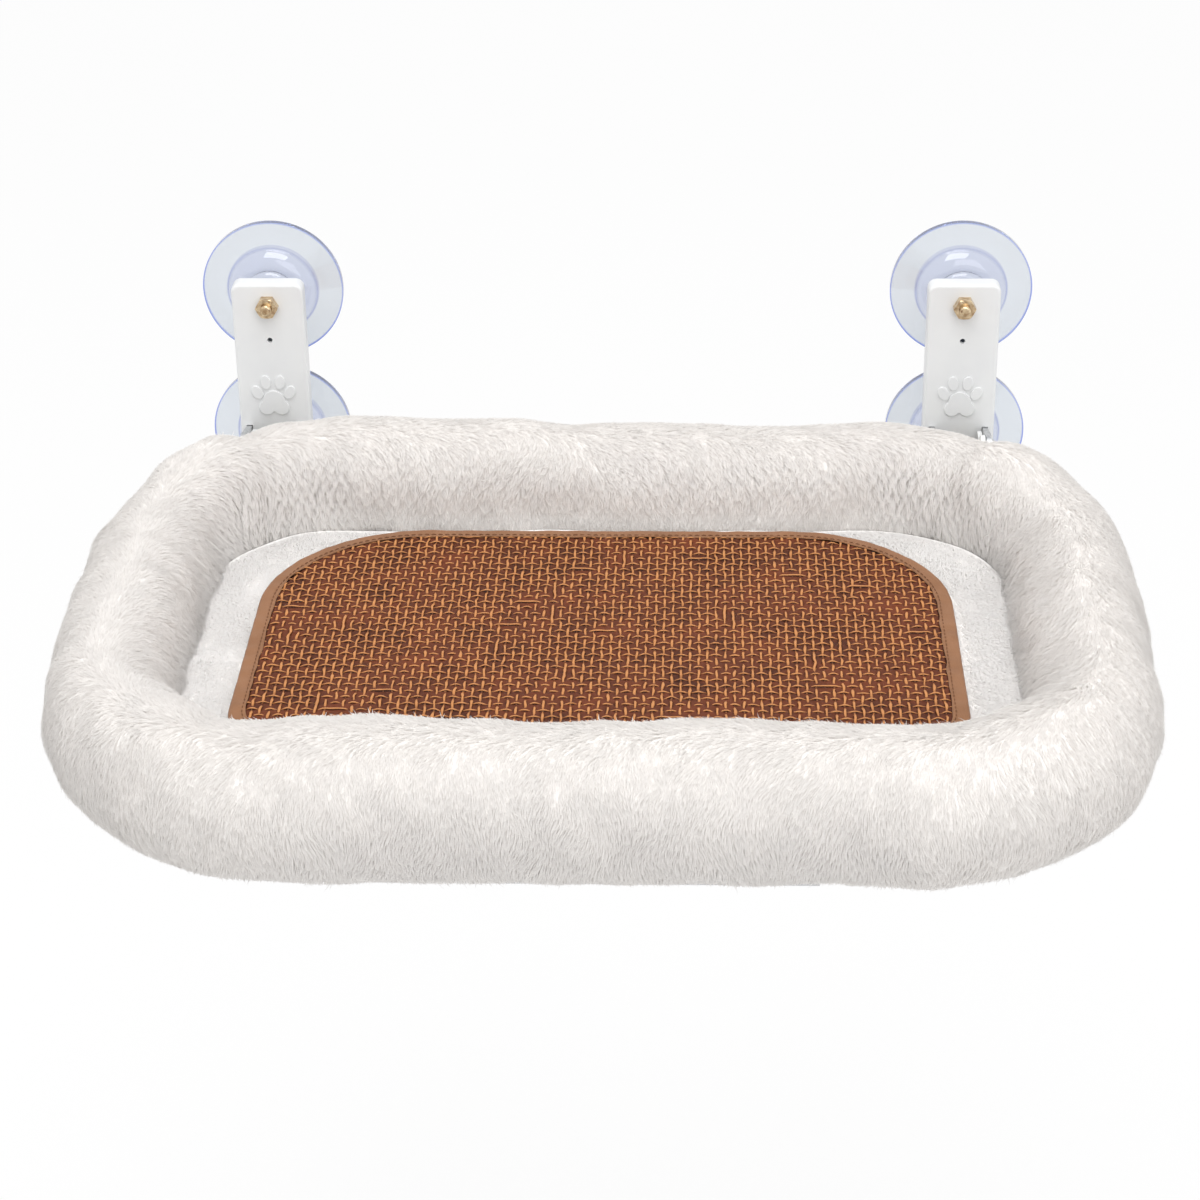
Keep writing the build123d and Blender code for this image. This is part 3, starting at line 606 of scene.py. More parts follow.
@dataclass
class Outline:
    """A rectangle with round corners, walked clockwise from the middle of its rear."""

    half_width: float
    half_depth: float
    rear_corner: float
    front_corner: float
    middle_y: float

    def drawn_in(self, inset: float) -> "Outline":
        """The same outline, drawn in all round."""
        sizes = (self.half_width, self.half_depth, self.rear_corner, self.front_corner)
        return Outline(*(size - inset for size in sizes), self.middle_y)

    def trace(self, inset: float) -> tuple[Array, Array, Array]:
        """Close points along the outline: four arcs, c + r (cos h, sin h), joined by lines.

        Args:
            inset: How far inside the outline to go.

        Returns:
            The points, their outward headings and the length walked to each.
        """
        line = self.drawn_in(inset)
        quarter = math.pi / 2
        turn = np.linspace(0, quarter, 121)
        points, headings = [np.array([[0, line.half_depth]])], [np.array([quarter])]
        rear, front = line.rear_corner, line.front_corner
        corners = (1, 1, rear), (1, -1, front), (-1, -1, front), (-1, 1, rear)
        for number, (sign_x, sign_y, radius) in enumerate(corners):
            heading = (1 - number) * quarter - turn
            centre = (sign_x * (line.half_width - radius), sign_y * (line.half_depth - radius))
            points.append(np.array(centre) + radius * joined(np.cos(heading), np.sin(heading)))
            headings.append(heading)
        points.append(points[0])
        headings.append(headings[0] - 4 * quarter)
        path = np.concatenate(points)
        return path + [0, self.middle_y], np.concatenate(headings), walked(path)

    def at(self, steps: Array, inset: float = 0.0) -> tuple[Array, Array]:
        """Points and outward directions, X and Y alone, at shares of the way round an inset."""
        path, headings, run = self.trace(inset)
        wanted = np.mod(steps, 1) * run[-1]
        heading = np.interp(wanted, run, headings)
        points = joined(*(np.interp(wanted, run, path[:, axis]) for axis in (0, 1)))
        return points, joined(np.cos(heading), np.sin(heading))

    def length(self, inset: float = 0.0) -> float:
        """The way round."""
        return float(self.trace(inset)[2][-1])

    def depth_inside(self, points: Array) -> Array:
        """How far points lie inside the outline, negative outside it."""
        x, y = np.abs(points[..., 0]), points[..., 1] - self.middle_y
        radius = np.where(y > 0, self.rear_corner, self.front_corner)
        over_x, over_y = x - (self.half_width - radius), np.abs(y) - (self.half_depth - radius)
        corner = radius - np.hypot(np.maximum(over_x, 0), np.maximum(over_y, 0))
        side = np.minimum(self.half_width - x, self.half_depth - np.abs(y))
        return np.where((over_x > 0) & (over_y > 0), corner, side)

    def span(self, offset: Array, along_y: bool) -> tuple[Array, Array]:
        """Where straight lines across the outline start and end, from the middle.

        At distance d into a corner's square the arc cuts off r - sqrt(r^2 - d^2).

        Args:
            offset: Distances of the lines from the middle.
            along_y: Whether the lines run along Y.

        Returns:
            The starts and the ends.
        """
        def cut(limit: float, radius: Array | float) -> Array:
            into = np.maximum(np.abs(offset) - (limit - radius), 0)
            return radius - np.sqrt(np.maximum(radius**2 - into**2, 0))

        if along_y:
            front = cut(self.half_width, self.front_corner)
            return front - self.half_depth, self.half_depth - cut(self.half_width, self.rear_corner)
        side = cut(self.half_depth, np.where(offset > 0, self.rear_corner, self.front_corner))
        return side - self.half_width, self.half_width - side


@dataclass(frozen=True)
class Stuffing:
    """A closed cover of cloth that its stuffing swells, as a simulation of pressure from inside."""

    pressure: float = 4.0
    frames: int = 20
    quality: int = 5
    stiffness: float = 12.0
    weight: float = 0.3
    cap: float = 0.005

    def swell(self, grid: Array) -> Array:
        """How far each point of a closed grid moves as cloth, by no more than the cap.

        Args:
            grid: Points of shape (rings, sections, 3), closed both ways.

        Returns:
            The shifts.
        """
        cover = Surface.on_grid(grid, True, True).place("slack_cover")
        cloth = cover.modifiers.new("stuffing", "CLOTH")
        settings = cloth.settings
        settings.quality, settings.mass = self.quality, self.weight
        settings.tension_stiffness = settings.compression_stiffness = self.stiffness
        settings.use_pressure, settings.uniform_pressure_force = True, self.pressure
        settings.effector_weights.gravity = 0.0
        cloth.point_cache.frame_start, cloth.point_cache.frame_end = 1, self.frames
        for number in range(1, self.frames + 1):
            bpy.context.scene.frame_set(number)
        swollen = cover.evaluated_get(bpy.context.evaluated_depsgraph_get()).data
        places = np.empty(3 * len(swollen.vertices), dtype=np.float32)
        swollen.vertices.foreach_get("co", places)
        bpy.data.objects.remove(cover)
        bpy.context.scene.frame_set(1)
        shift = places.reshape(grid.shape) - grid
        far = np.linalg.norm(shift, axis=-1, keepdims=True)
        log.info("the cover swells by %.1f mm on average", float(far.mean()) / MM)
        return shift * np.minimum(1, self.cap / np.maximum(far, 1e-9))


def refined(grid: Array, rings: int, sections: int) -> Array:
    """A grid that is closed both ways, resampled through its Fourier series, padded with zeros.

    Args:
        grid: Values of shape (rings, sections, 3), with fewer of both than wanted.
        rings: Number of rings wanted.
        sections: Number of points wanted in each.

    Returns:
        The finer grid.
    """
    spectrum = np.fft.fftshift(np.fft.fft2(grid, axes=(0, 1)), axes=(0, 1))
    more = [(rings - grid.shape[0]) // 2, (sections - grid.shape[1]) // 2]
    padded = np.pad(spectrum, [(more[0], more[0]), (more[1], more[1]), (0, 0)])
    scale = rings * sections / (grid.shape[0] * grid.shape[1])
    return np.fft.ifft2(np.fft.ifftshift(padded, axes=(0, 1)), axes=(0, 1)).real * scale


@dataclass
class Pile:
    """A field of fine curved blades on a surface.

    Each blade has a root, a bend and a tip. It leaves along the surface's normal and leans over in
    the lay's direction, and its tip is drawn towards the middle of its tuft.
    """

    name: str
    material: Material
    slot: str
    length: float
    width: float
    seed: int
    stray: float = 0.055
    cell: tuple[tuple[float, float], ...] = (
        (0.1, 0.1), (0.9, 0.1), (0.9, 0.5), (0.1, 0.5), (0.5, 0.9),
    )

    def grow(
        self, roots: Array, normals: Array, lay: Array, tuft: Array, trim: Array,
        upright: Array | float,
    ) -> None:
        """Makes one piece of pile.

        The bend stands half the length along the mix ((0.25 + u) normal + (0.95 - u) lay), and the
        tip the whole length along the mix (u normal + (1 - u) lay), with u the upright share. A few
        blades stray much further than the rest.

        Args:
            roots: Where the blades stand.
            normals: The surface's outward directions there.
            lay: The directions in which the pile lies, along the surface.
            tuft: Shifts along the surface towards the middle of each blade's tuft.
            trim: Shares of the full length.
            upright: Shares of the way from lying along the surface to standing on it.
        """
        dice = np.random.default_rng(self.seed)
        count = len(roots)
        reach = (self.length * trim * dice.uniform(0.8, 1.1, count))[:, None]
        wild = 1 + 3 * dice.uniform(0, 1, (count, 1)) ** 10
        stray = wild * dice.normal(scale=self.stray, size=(count, 3))
        stand = np.broadcast_to(upright, (count,))[:, None]
        rise = unit((0.25 + stand) * normals + (0.95 - stand) * lay + 0.5 * stray)
        lean = unit(stand * normals + (1 - stand) * lay + stray)
        bend = roots + 0.5 * reach * rise + 0.25 * tuft
        tip = roots + reach * lean + 0.75 * tuft
        across = unit(np.cross(normals, tip - roots))
        half = 0.5 * self.width * dice.uniform(0.7, 1.15, (count, 1)) * across
        bent = 0.85 * half
        points = np.stack([roots - half, roots + half, bend + bent, bend - bent, tip], axis=1)
        first = 5 * np.arange(count)[:, None]
        faces = [first + np.array([3, 2, 1, 0]), first + np.array([4, 2, 3])]
        tint = dice.uniform(0, 1, count)
        along = np.stack([np.repeat(tint, 5), np.tile([0, 0, 0.5, 0.5, 1.0], count)], axis=1)
        soft = np.repeat(unit(normals + 0.35 * stray), 5, axis=0)
        maps = {"fibre": along, "OFBake": self.cells(count)}
        blades = Surface(points.reshape(-1, 3), faces, maps, soft)
        blades.piece(self.name, self.material, self.slot)

    def cells(self, count: int) -> Array:
        """Map places of every blade's five points, each blade in a small cell of a square."""
        side = math.ceil(math.sqrt(count))
        number = np.arange(count)
        corner = np.stack([number % side, number // side], axis=1)[:, None, :]
        return ((corner + np.array(self.cell)[None]) / side).reshape(-1, 2)


@dataclass(frozen=True)
class Bump:
    """A fuller or thinner place of the roll: where, how wide, and its heights in millimetres."""

    x: float
    y: float
    reach: float
    top: float = 0.0
    outside: float = 0.0
    inside: float = 0.0


@dataclass
class Bolster:
    """The stuffed roll round the bed: a lumpy tube on a rounded rectangle, covered in long pile.

    Turns are shares of the section's circle and degrees its angles, from outside over the top.
    """

    finishes: Finishes
    half_width: float = 0.240
    half_depth: float = 0.158
    corner: float = 0.098
    rear_radius: float = 0.0415
    side_radius: float = 0.0335
    front_radius: float = 0.0375
    drop: float = 0.039
    inset: float = 0.0016
    core_inset: float = 6 * MM
    rings: int = 560
    sections: int = 96
    lumps: float = 1.5 * MM
    folds: int = 60
    pad_turn: float = 1.03 * math.pi
    broad: Waves = Waves(0.09, 3, height=0.6)
    fine: Waves = Waves(0.036, 5, height=0.3)
    bunched: Waves = Waves(0.09, 8, height=1.2)
    bumps: tuple[Bump, ...] = (
        Bump(-0.220, -0.130, 0.045, top=2.5, outside=2.5),
        Bump(0.216, -0.128, 0.045, top=2.5, outside=2.0),
        Bump(-0.220, -0.128, 0.026, top=3.0),
        Bump(0.218, -0.126, 0.026, top=3.5),
        Bump(-0.195, -0.114, 0.010, top=-2.5),
        Bump(0.195, -0.114, 0.010, top=-2.5),
        Bump(-0.140, -0.099, 0.060, top=2.0, inside=-2.0),
        Bump(0.095, -0.099, 0.060, top=-3.5, inside=-1.0),
        Bump(-0.239, -0.325, 0.048, outside=-4.5),
        Bump(0.239, -0.332, 0.045, outside=-3.5),
        Bump(-0.185, -0.402, 0.030, outside=-1.5),
        Bump(0.212, -0.386, 0.045, outside=5.0),
    )
    blades: int = 335_000
    sectors: int = 8
    pile_length: float = 0.0072
    pile_width: float = 0.45 * MM
    tuft_size: float = 4.0 * MM
    first_turn: float = -0.28
    last_turn: float = 0.545
    sparse_from: float = -50
    short_from: float = -62
    short_beyond: float = 188
    shoulder: float = 60
    shoulder_spread: float = 48
    parting: float = 92
    tufts: tuple[float, float] = (100, 140)
    cleft: tuple[float, float] = (148, 173)
    seed: int = 41
    swirls: Waves = Waves(0.06, 21, height=0.2)
    tilts: Waves = Waves(0.024, 22)
    line: Outline = field(init=False)
    grid: Array = field(init=False)

    def __post_init__(self) -> None:
        """Takes the roll's middle from the frame."""
        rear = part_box("bolster_cover")[1][1]
        middle = rear - self.rear_radius - self.half_depth
        self.line = Outline(self.half_width, self.half_depth, self.corner, self.corner, middle)

    def ring(self, steps: Array) -> tuple[Array, Array, Array]:
        """Centre line, outward directions and radii at shares of the way round.

        A radius is side + (end - side) h^2, with h the heading's share in Y.
        """
        flat, heading = self.line.at(steps)
        end = np.where(heading[..., 1] > 0, self.rear_radius, self.front_radius)
        radii = self.side_radius + (end - self.side_radius) * heading[..., 1] ** 2
        level = np.zeros_like(radii)[..., None]
        centre = np.concatenate([flat, level - self.drop], -1)
        return centre, np.concatenate([heading, level], -1), radii

    def plump(self, centre: Array, turn: Array) -> Array:
        """Where the roll is fuller or thinner: bumps exp(-(d / reach)^2) on three sides.

        A bump's heights count by the squares of the positive parts of sin a, cos a and -cos a.

        Args:
            centre: Points of the centre line.
            turn: The angles a round the section.

        Returns:
            The heights.
        """
        upward, outward = np.sin(turn), np.cos(turn)
        top, outside, inside = (np.clip(side, 0, 1) ** 2 for side in (upward, outward, -outward))
        rise = np.zeros(np.broadcast_shapes(centre.shape[:-1], turn.shape))
        for bump in self.bumps:
            away = (centre[..., 0] - bump.x) ** 2 + (centre[..., 1] - bump.y) ** 2
            height = bump.top * top + bump.outside * outside + bump.inside * inside
            rise = rise + np.exp(-away / bump.reach**2) * height * MM
        return rise

    def beside_pad(self, turn: Array, spread: float) -> Array:
        """One where the section touches the pad, falling off both ways as exp(-(d / s)^2)."""
        return np.exp(-(((turn - self.pad_turn) / spread) ** 2))

    def surface(self, inset: float, rings: int, sections: int) -> Array:
        """Points of the roll, ring by ring: centre + r (cos a outward + sin a up).

        The radius r is the roll's less the inset, plus soft lumps of the stuffing and the bumps,
        minus short puckers where the cloth bunches inside the corners. The inset is less beside the
        pad.

        Args:
            inset: How far the surface lies inside the pile's outline.
            rings: Number of rings.
            sections: Points in each ring.

        Returns:
            An array of shape (rings, sections, 3).
        """
        steps, turn = np.arange(rings) / rings, circle(sections)
        centre, outward, radii = (part[:, None] for part in self.ring(steps))
        cosine, sine = np.cos(turn)[None, :, None], np.sin(turn)[None, :, None]
        radial = cosine * outward + sine * np.array([0, 0, 1.0])
        smooth = centre + radii[..., None] * radial
        swell = self.lumps * (self.broad.at(smooth) + self.fine.at(smooth))
        bent = 2 * np.abs(outward[..., 0]) * np.abs(outward[..., 1])
        inner = np.clip(-cosine[..., 0], 0, 1) ** 0.7
        phase = steps[:, None] * math.pi * self.folds + self.bunched.at(smooth)
        pucker = self.lumps * 0.9 * (0.15 + bent) * inner * (1 - np.abs(np.sin(phase))) ** 1.5
        below = np.clip(-sine[..., 0], 0, 1) ** 2
        beside = self.beside_pad(turn, 0.32)[None, :]
        size = radii - inset * (1 - 0.6 * beside) + swell * (1 - 0.6 * below) - pucker
        size += self.plump(centre, turn[None, :])
        return centre + size[..., None] * radial

    def swollen(self) -> Array:
        """How far the stuffing moves the cover, on the full grid, less below and beside the pad."""
        coarse = self.surface(self.inset, self.rings // 2, self.sections // 2)
        shift = refined(Stuffing().swell(coarse), self.rings, self.sections)
        turn = circle(self.sections)
        held = np.clip(-np.sin(turn), 0, 1) + 0.8 * self.beside_pad(turn, 0.45)
        return shift * (1 - np.clip(held, 0, 1))[None, :, None]

    def at(self, steps: Array, turns: Array) -> Array:
        """Points of the lumpy surface, read between the grid's points.

        Args:
            steps: Shares of the way round the bed.
            turns: Shares of the way round the section.

        Returns:
            The points.
        """
        u, v = np.mod(steps, 1) * self.rings, np.mod(turns, 1) * self.sections
        i, j = u.astype(int) % self.rings, v.astype(int) % self.sections
        a, b = (u - np.floor(u))[:, None], (v - np.floor(v))[:, None]
        i1, j1 = (i + 1) % self.rings, (j + 1) % self.sections
        near = self.grid[i, j] * (1 - b) + self.grid[i, j1] * b
        far = self.grid[i1, j] * (1 - b) + self.grid[i1, j1] * b
        return near * (1 - a) + far * a

    def skin(self) -> None:
        """The plush cover's backing, which stands for the cover, and the stuffing inside it."""
        self.grid = self.surface(self.inset, self.rings, self.sections) + self.swollen()
        core = self.surface(self.inset + self.core_inset, 180, 36)
        for name, grid, finish, slot, node in (
            ("bolster_plush", self.grid, "long_plush_backing", "long_plush", "bolster_cover"),
            ("bolster_stuffing", core, "polyester_stuffing", "polyester_fill", "bolster_fill"),
        ):
            surface = Surface.on_grid(grid, True, True)
            piece = surface.piece(name, self.finishes[finish], slot, node)

    def scattered(self) -> tuple[Array, Array]:
        """Where the blades stand: shares of the way round bed and section, with few far below."""
        dice = np.random.default_rng(self.seed)
        steps = dice.uniform(0, 1, self.blades)
        turns = dice.uniform(self.first_turn, self.last_turn, self.blades)
        share = np.where(turns * 360 < self.sparse_from, 0.55, 1.0)
        keep = dice.uniform(0, 1, self.blades) < share
        return steps[keep], turns[keep]

    def trims(self, degrees: Array, rear: Array, tilt: Array) -> Array:
        """Shares of the pile's full length: shorter on the shoulder and beside pad and deck.

        Rear is how much each place belongs to the rear of the roll, and tilt is fine noise.
        """
        trim = np.where(degrees > self.short_beyond, 0.7, 1.0)
        trim *= np.where(degrees < self.short_from, 0.62, 1.0)
        trim *= 1 + 0.04 * tilt
        shoulder = np.exp(-(((degrees - self.shoulder) / self.shoulder_spread) ** 2))
        return trim * ((1 - 0.32 * shoulder) * (1 - 0.3 * rear * between(degrees, 150, 170)))

    def pile(self) -> None:
        """The long pile, in sectors round the roll, all but where the pad and the deck hide it.

        Tufts come from a grid of cells in which each cell has its own middle. The pile falls down
        both flanks of the roll, with low waves of noise that turn it to and fro. It is most tufty
        on the rear inner face, and stands up in the crease beside the pad.
        """
        steps, turns = self.scattered()
        degrees = turns * 360
        roots = self.at(steps, turns)
        centre, outward, _ = self.ring(steps)
        ahead = unit(self.at(steps + 1e-3, turns) - roots)
        around = unit(self.at(steps, turns + 2e-3) - roots)
        normals = unit(np.cross(ahead, around))
        normals *= np.sign(np.sum(normals * (roots - centre), axis=1))[:, None]
        rear = np.clip(outward[:, 1], 0, 1) ** 2
        tufty = between(degrees, *self.tufts) * (0.15 + 0.85 * rear)
        perimeter, girth = self.line.length(), 2 * math.pi * self.front_radius
        size = self.tuft_size
        column, row = np.floor(steps * perimeter / size), np.floor(turns * girth / size)
        scatter = np.stack([column * 12.9 + row * 78.2, column * 39.3 + row * 11.1], axis=1)
        middle = np.stack([column, row], axis=1) + 0.5 + 0.38 * np.sin(scatter * 43.7)
        tuft = self.at(middle[:, 0] * size / perimeter, middle[:, 1] * size / girth) - roots
        tuft *= (0.12 + 0.3 * tufty)[:, None]
        tilt = self.tilts.at(roots)
        fall = np.tanh((degrees - self.parting) / 30) + 0.05 * tilt
        whorl = np.sin((column * 31.7 + row * 17.3) * 43.7)
        drift = 0.75 * (1 - fall**2) + self.swirls.at(roots) + 0.08 * tilt
        drift += 0.35 * tufty * whorl
        lay = unit(fall[:, None] * around + drift[:, None] * ahead)
        crease = between(degrees, *self.cleft)
        upright = 0.13 + 0.18 * tufty * (1 - crease) + 0.34 * crease * (1 - rear)
        trim = self.trims(degrees, rear, tilt)
        order = np.clip((steps * self.sectors).astype(int), 0, self.sectors - 1)
        for number in range(self.sectors):
            mine = order == number
            Pile(
                f"bolster_pile_{number + 1}", self.finishes["long_plush_fibre"], "long_plush",
                self.pile_length, self.pile_width, 100 + number,
            ).grow(*(part[mine] for part in (roots, normals, lay, tuft, trim, upright)))

    def build(self) -> None:
        """Builds the roll and its pile."""
        self.skin()
        self.pile()


def slab(outline: Outline, profile: Array, count: int) -> Surface:
    """A closed form whose rims follow an outline.

    Each profile row is an inset, a share and a height. The ring is the outline at that inset, drawn
    towards the middle by the share. The first and last rows close on one point.

    Args:
        outline: The form's outline.
        profile: Rows from the middle of the top, over the rim, to the middle of the underside.
        count: Points along the outline.

    Returns:
        The surface.
    """
    middle = np.array([0, outline.middle_y])
    rings = []
    for inset, share, height in profile[1:-1]:
        line = outline.at(np.arange(count) / count, inset)[0]
        rings.append(np.c_[middle + (line - middle) * share, np.full(count, height)])
    ends = np.array([[*middle, profile[0, 2]], [*middle, profile[-1, 2]]])
    points = np.concatenate([*rings, ends])
    this, after = np.arange(count), (np.arange(count) + 1) % count
    last = (len(rings) - 1) * count
    top = joined(this, after, len(points) - 2)
    under = joined(last + after, last + this, len(points) - 1)
    return Surface(points, [grid_quads(len(rings), count, False, True), top, under])


@dataclass
class Pad:
    """The foam pad inside the roll, in short plush."""

    finishes: Finishes
    mat: Outline
    corner: float = 0.0655
    rim: float = 0.0016
    crown: float = 0.5 * MM
    draw_in: float = 1.2 * MM
    base_inset: float = 2 * MM
    spread: float = 2.0 * MM
    core_inset: float = 3 * MM
    blades: int = 62_000
    pile_height: float = 0.0022
    pile_length: float = 3.4 * MM
    pile_width: float = 0.5 * MM
    tuft_size: float = 2.2 * MM
    seed: int = 77
    lie: float = -1.2
    mat_edge: float = 5 * MM
    wave_edge: float = 12 * MM
    rises: Waves = Waves(0.06, 31, height=0.5 * MM)
    swirls: Waves = Waves(0.09, 33, height=0.35)
    outline: Outline = field(init=False)
    top: float = field(init=False)
    bottom: float = field(init=False)

    def __post_init__(self) -> None:
        """Takes the pad's size from the frame."""
        low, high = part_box("pad_cover")
        middle = (low[1] + high[1]) / 2
        self.outline = Outline(high[0], (high[1] - low[1]) / 2, self.corner, self.corner, middle)
        self.top, self.bottom = high[2] - 0.3 * MM, low[2]

    def profile(self, inset: float, sink: float) -> Array:
        """Insets, shares and heights of the pad's section.

        The rim is a quarter ellipse, and the sides draw in by a sine between it and the base.

        Args:
            inset: How far the sides lie inside the pad's outline.
            sink: How far the top lies below the pad's.

        Returns:
            Rows from the middle of the top to the middle of the underside.
        """
        rim = [
            (inset + self.rim * (1 - math.sin(t)), 1.0, -self.rim * (1 - math.cos(t)))
            for t in np.linspace(0, math.pi / 2, 10)
        ]
        height = self.top - self.bottom - sink - max(inset, 0.5 * MM) - self.rim
        waist = [
            (inset + self.draw_in * math.sin(math.pi * s), 1.0, -self.rim - height * s)
            for s in np.linspace(0.1, 0.9, 7)
        ]
        shares = np.linspace(0, 1, 14)[:-1]
        top = [(inset + self.rim, s, self.crown * (1 - s**2) ** 2) for s in shares]
        under = (0.995, 0.98, 0.6, 0.3, 0.0)
        base = [(inset + self.base_inset, s, -self.rim - height) for s in under]
        rows = np.array([*top, *rim, *waist, *base])
        rows[:, 2] += self.top - sink
        return rows

    def waves(self, points: Array) -> Array:
        """Small rises and falls of the top outside the mat."""
        beyond = np.clip(-self.mat.depth_inside(points) / self.wave_edge, 0, 1)
        return self.rises.at(points * np.array([1, 1, 0])) * beyond

    def build(self) -> None:
        """The plush shell, the foam inside it and the pile round the mat."""
        for name, inset, sink, finish, slot, node in (
            ("pad_plush", -self.spread, 0.0, "short_plush_backing", "short_plush", "pad_cover"),
            ("pad_core", self.core_inset, self.core_inset, "pad_foam", "foam", "pad_foam"),
        ):
            surface = slab(self.outline, self.profile(inset, sink + self.pile_height), 320)
            surface.points[:, 2] += self.waves(surface.points)
            piece = surface.piece(name, self.finishes[finish], slot, node)
        self.pile()

    def pile(self) -> None:
        """Short pile wherever the mat leaves the pad bare, on its flat top and over its rim."""
        dice = np.random.default_rng(self.seed)
        half = np.array([self.outline.half_width, self.outline.half_depth])
        low = np.array([0, self.outline.middle_y]) - half
        places = low + 2 * half * dice.uniform(0, 1, (5 * self.blades, 2))
        inside = self.outline.depth_inside(places)
        bare = (inside > 0.2 * MM) & (self.mat.depth_inside(places) < 1.2 * MM)
        places = places[bare][: self.blades]
        inside = self.outline.depth_inside(places) + self.spread
        drop = np.clip(1 - inside / self.rim, 0, 0.97)
        level = self.top - self.pile_height - self.rim * (1 - np.sqrt(1 - drop**2))
        roots = np.c_[places, level]
        roots[:, 2] += self.waves(roots)
        count = len(roots)
        up = np.tile([0, 0, 1.0], (count, 1))
        heading = self.swirls.at(roots) + self.lie
        lay = joined(np.cos(heading), np.sin(heading), 0.0)
        middle = (np.floor(places / self.tuft_size) + 0.5) * self.tuft_size
        tuft = np.c_[0.2 * (middle - places), np.zeros(count)]
        trim = np.clip(-self.mat.depth_inside(places) / self.mat_edge, 0.4, 1)
        fibre = self.finishes["short_plush_fibre"]
        pile = Pile("pad_pile", fibre, "short_plush", self.pile_length, self.pile_width, 200)
        pile.grow(roots, up, lay, tuft, trim, 0.2)


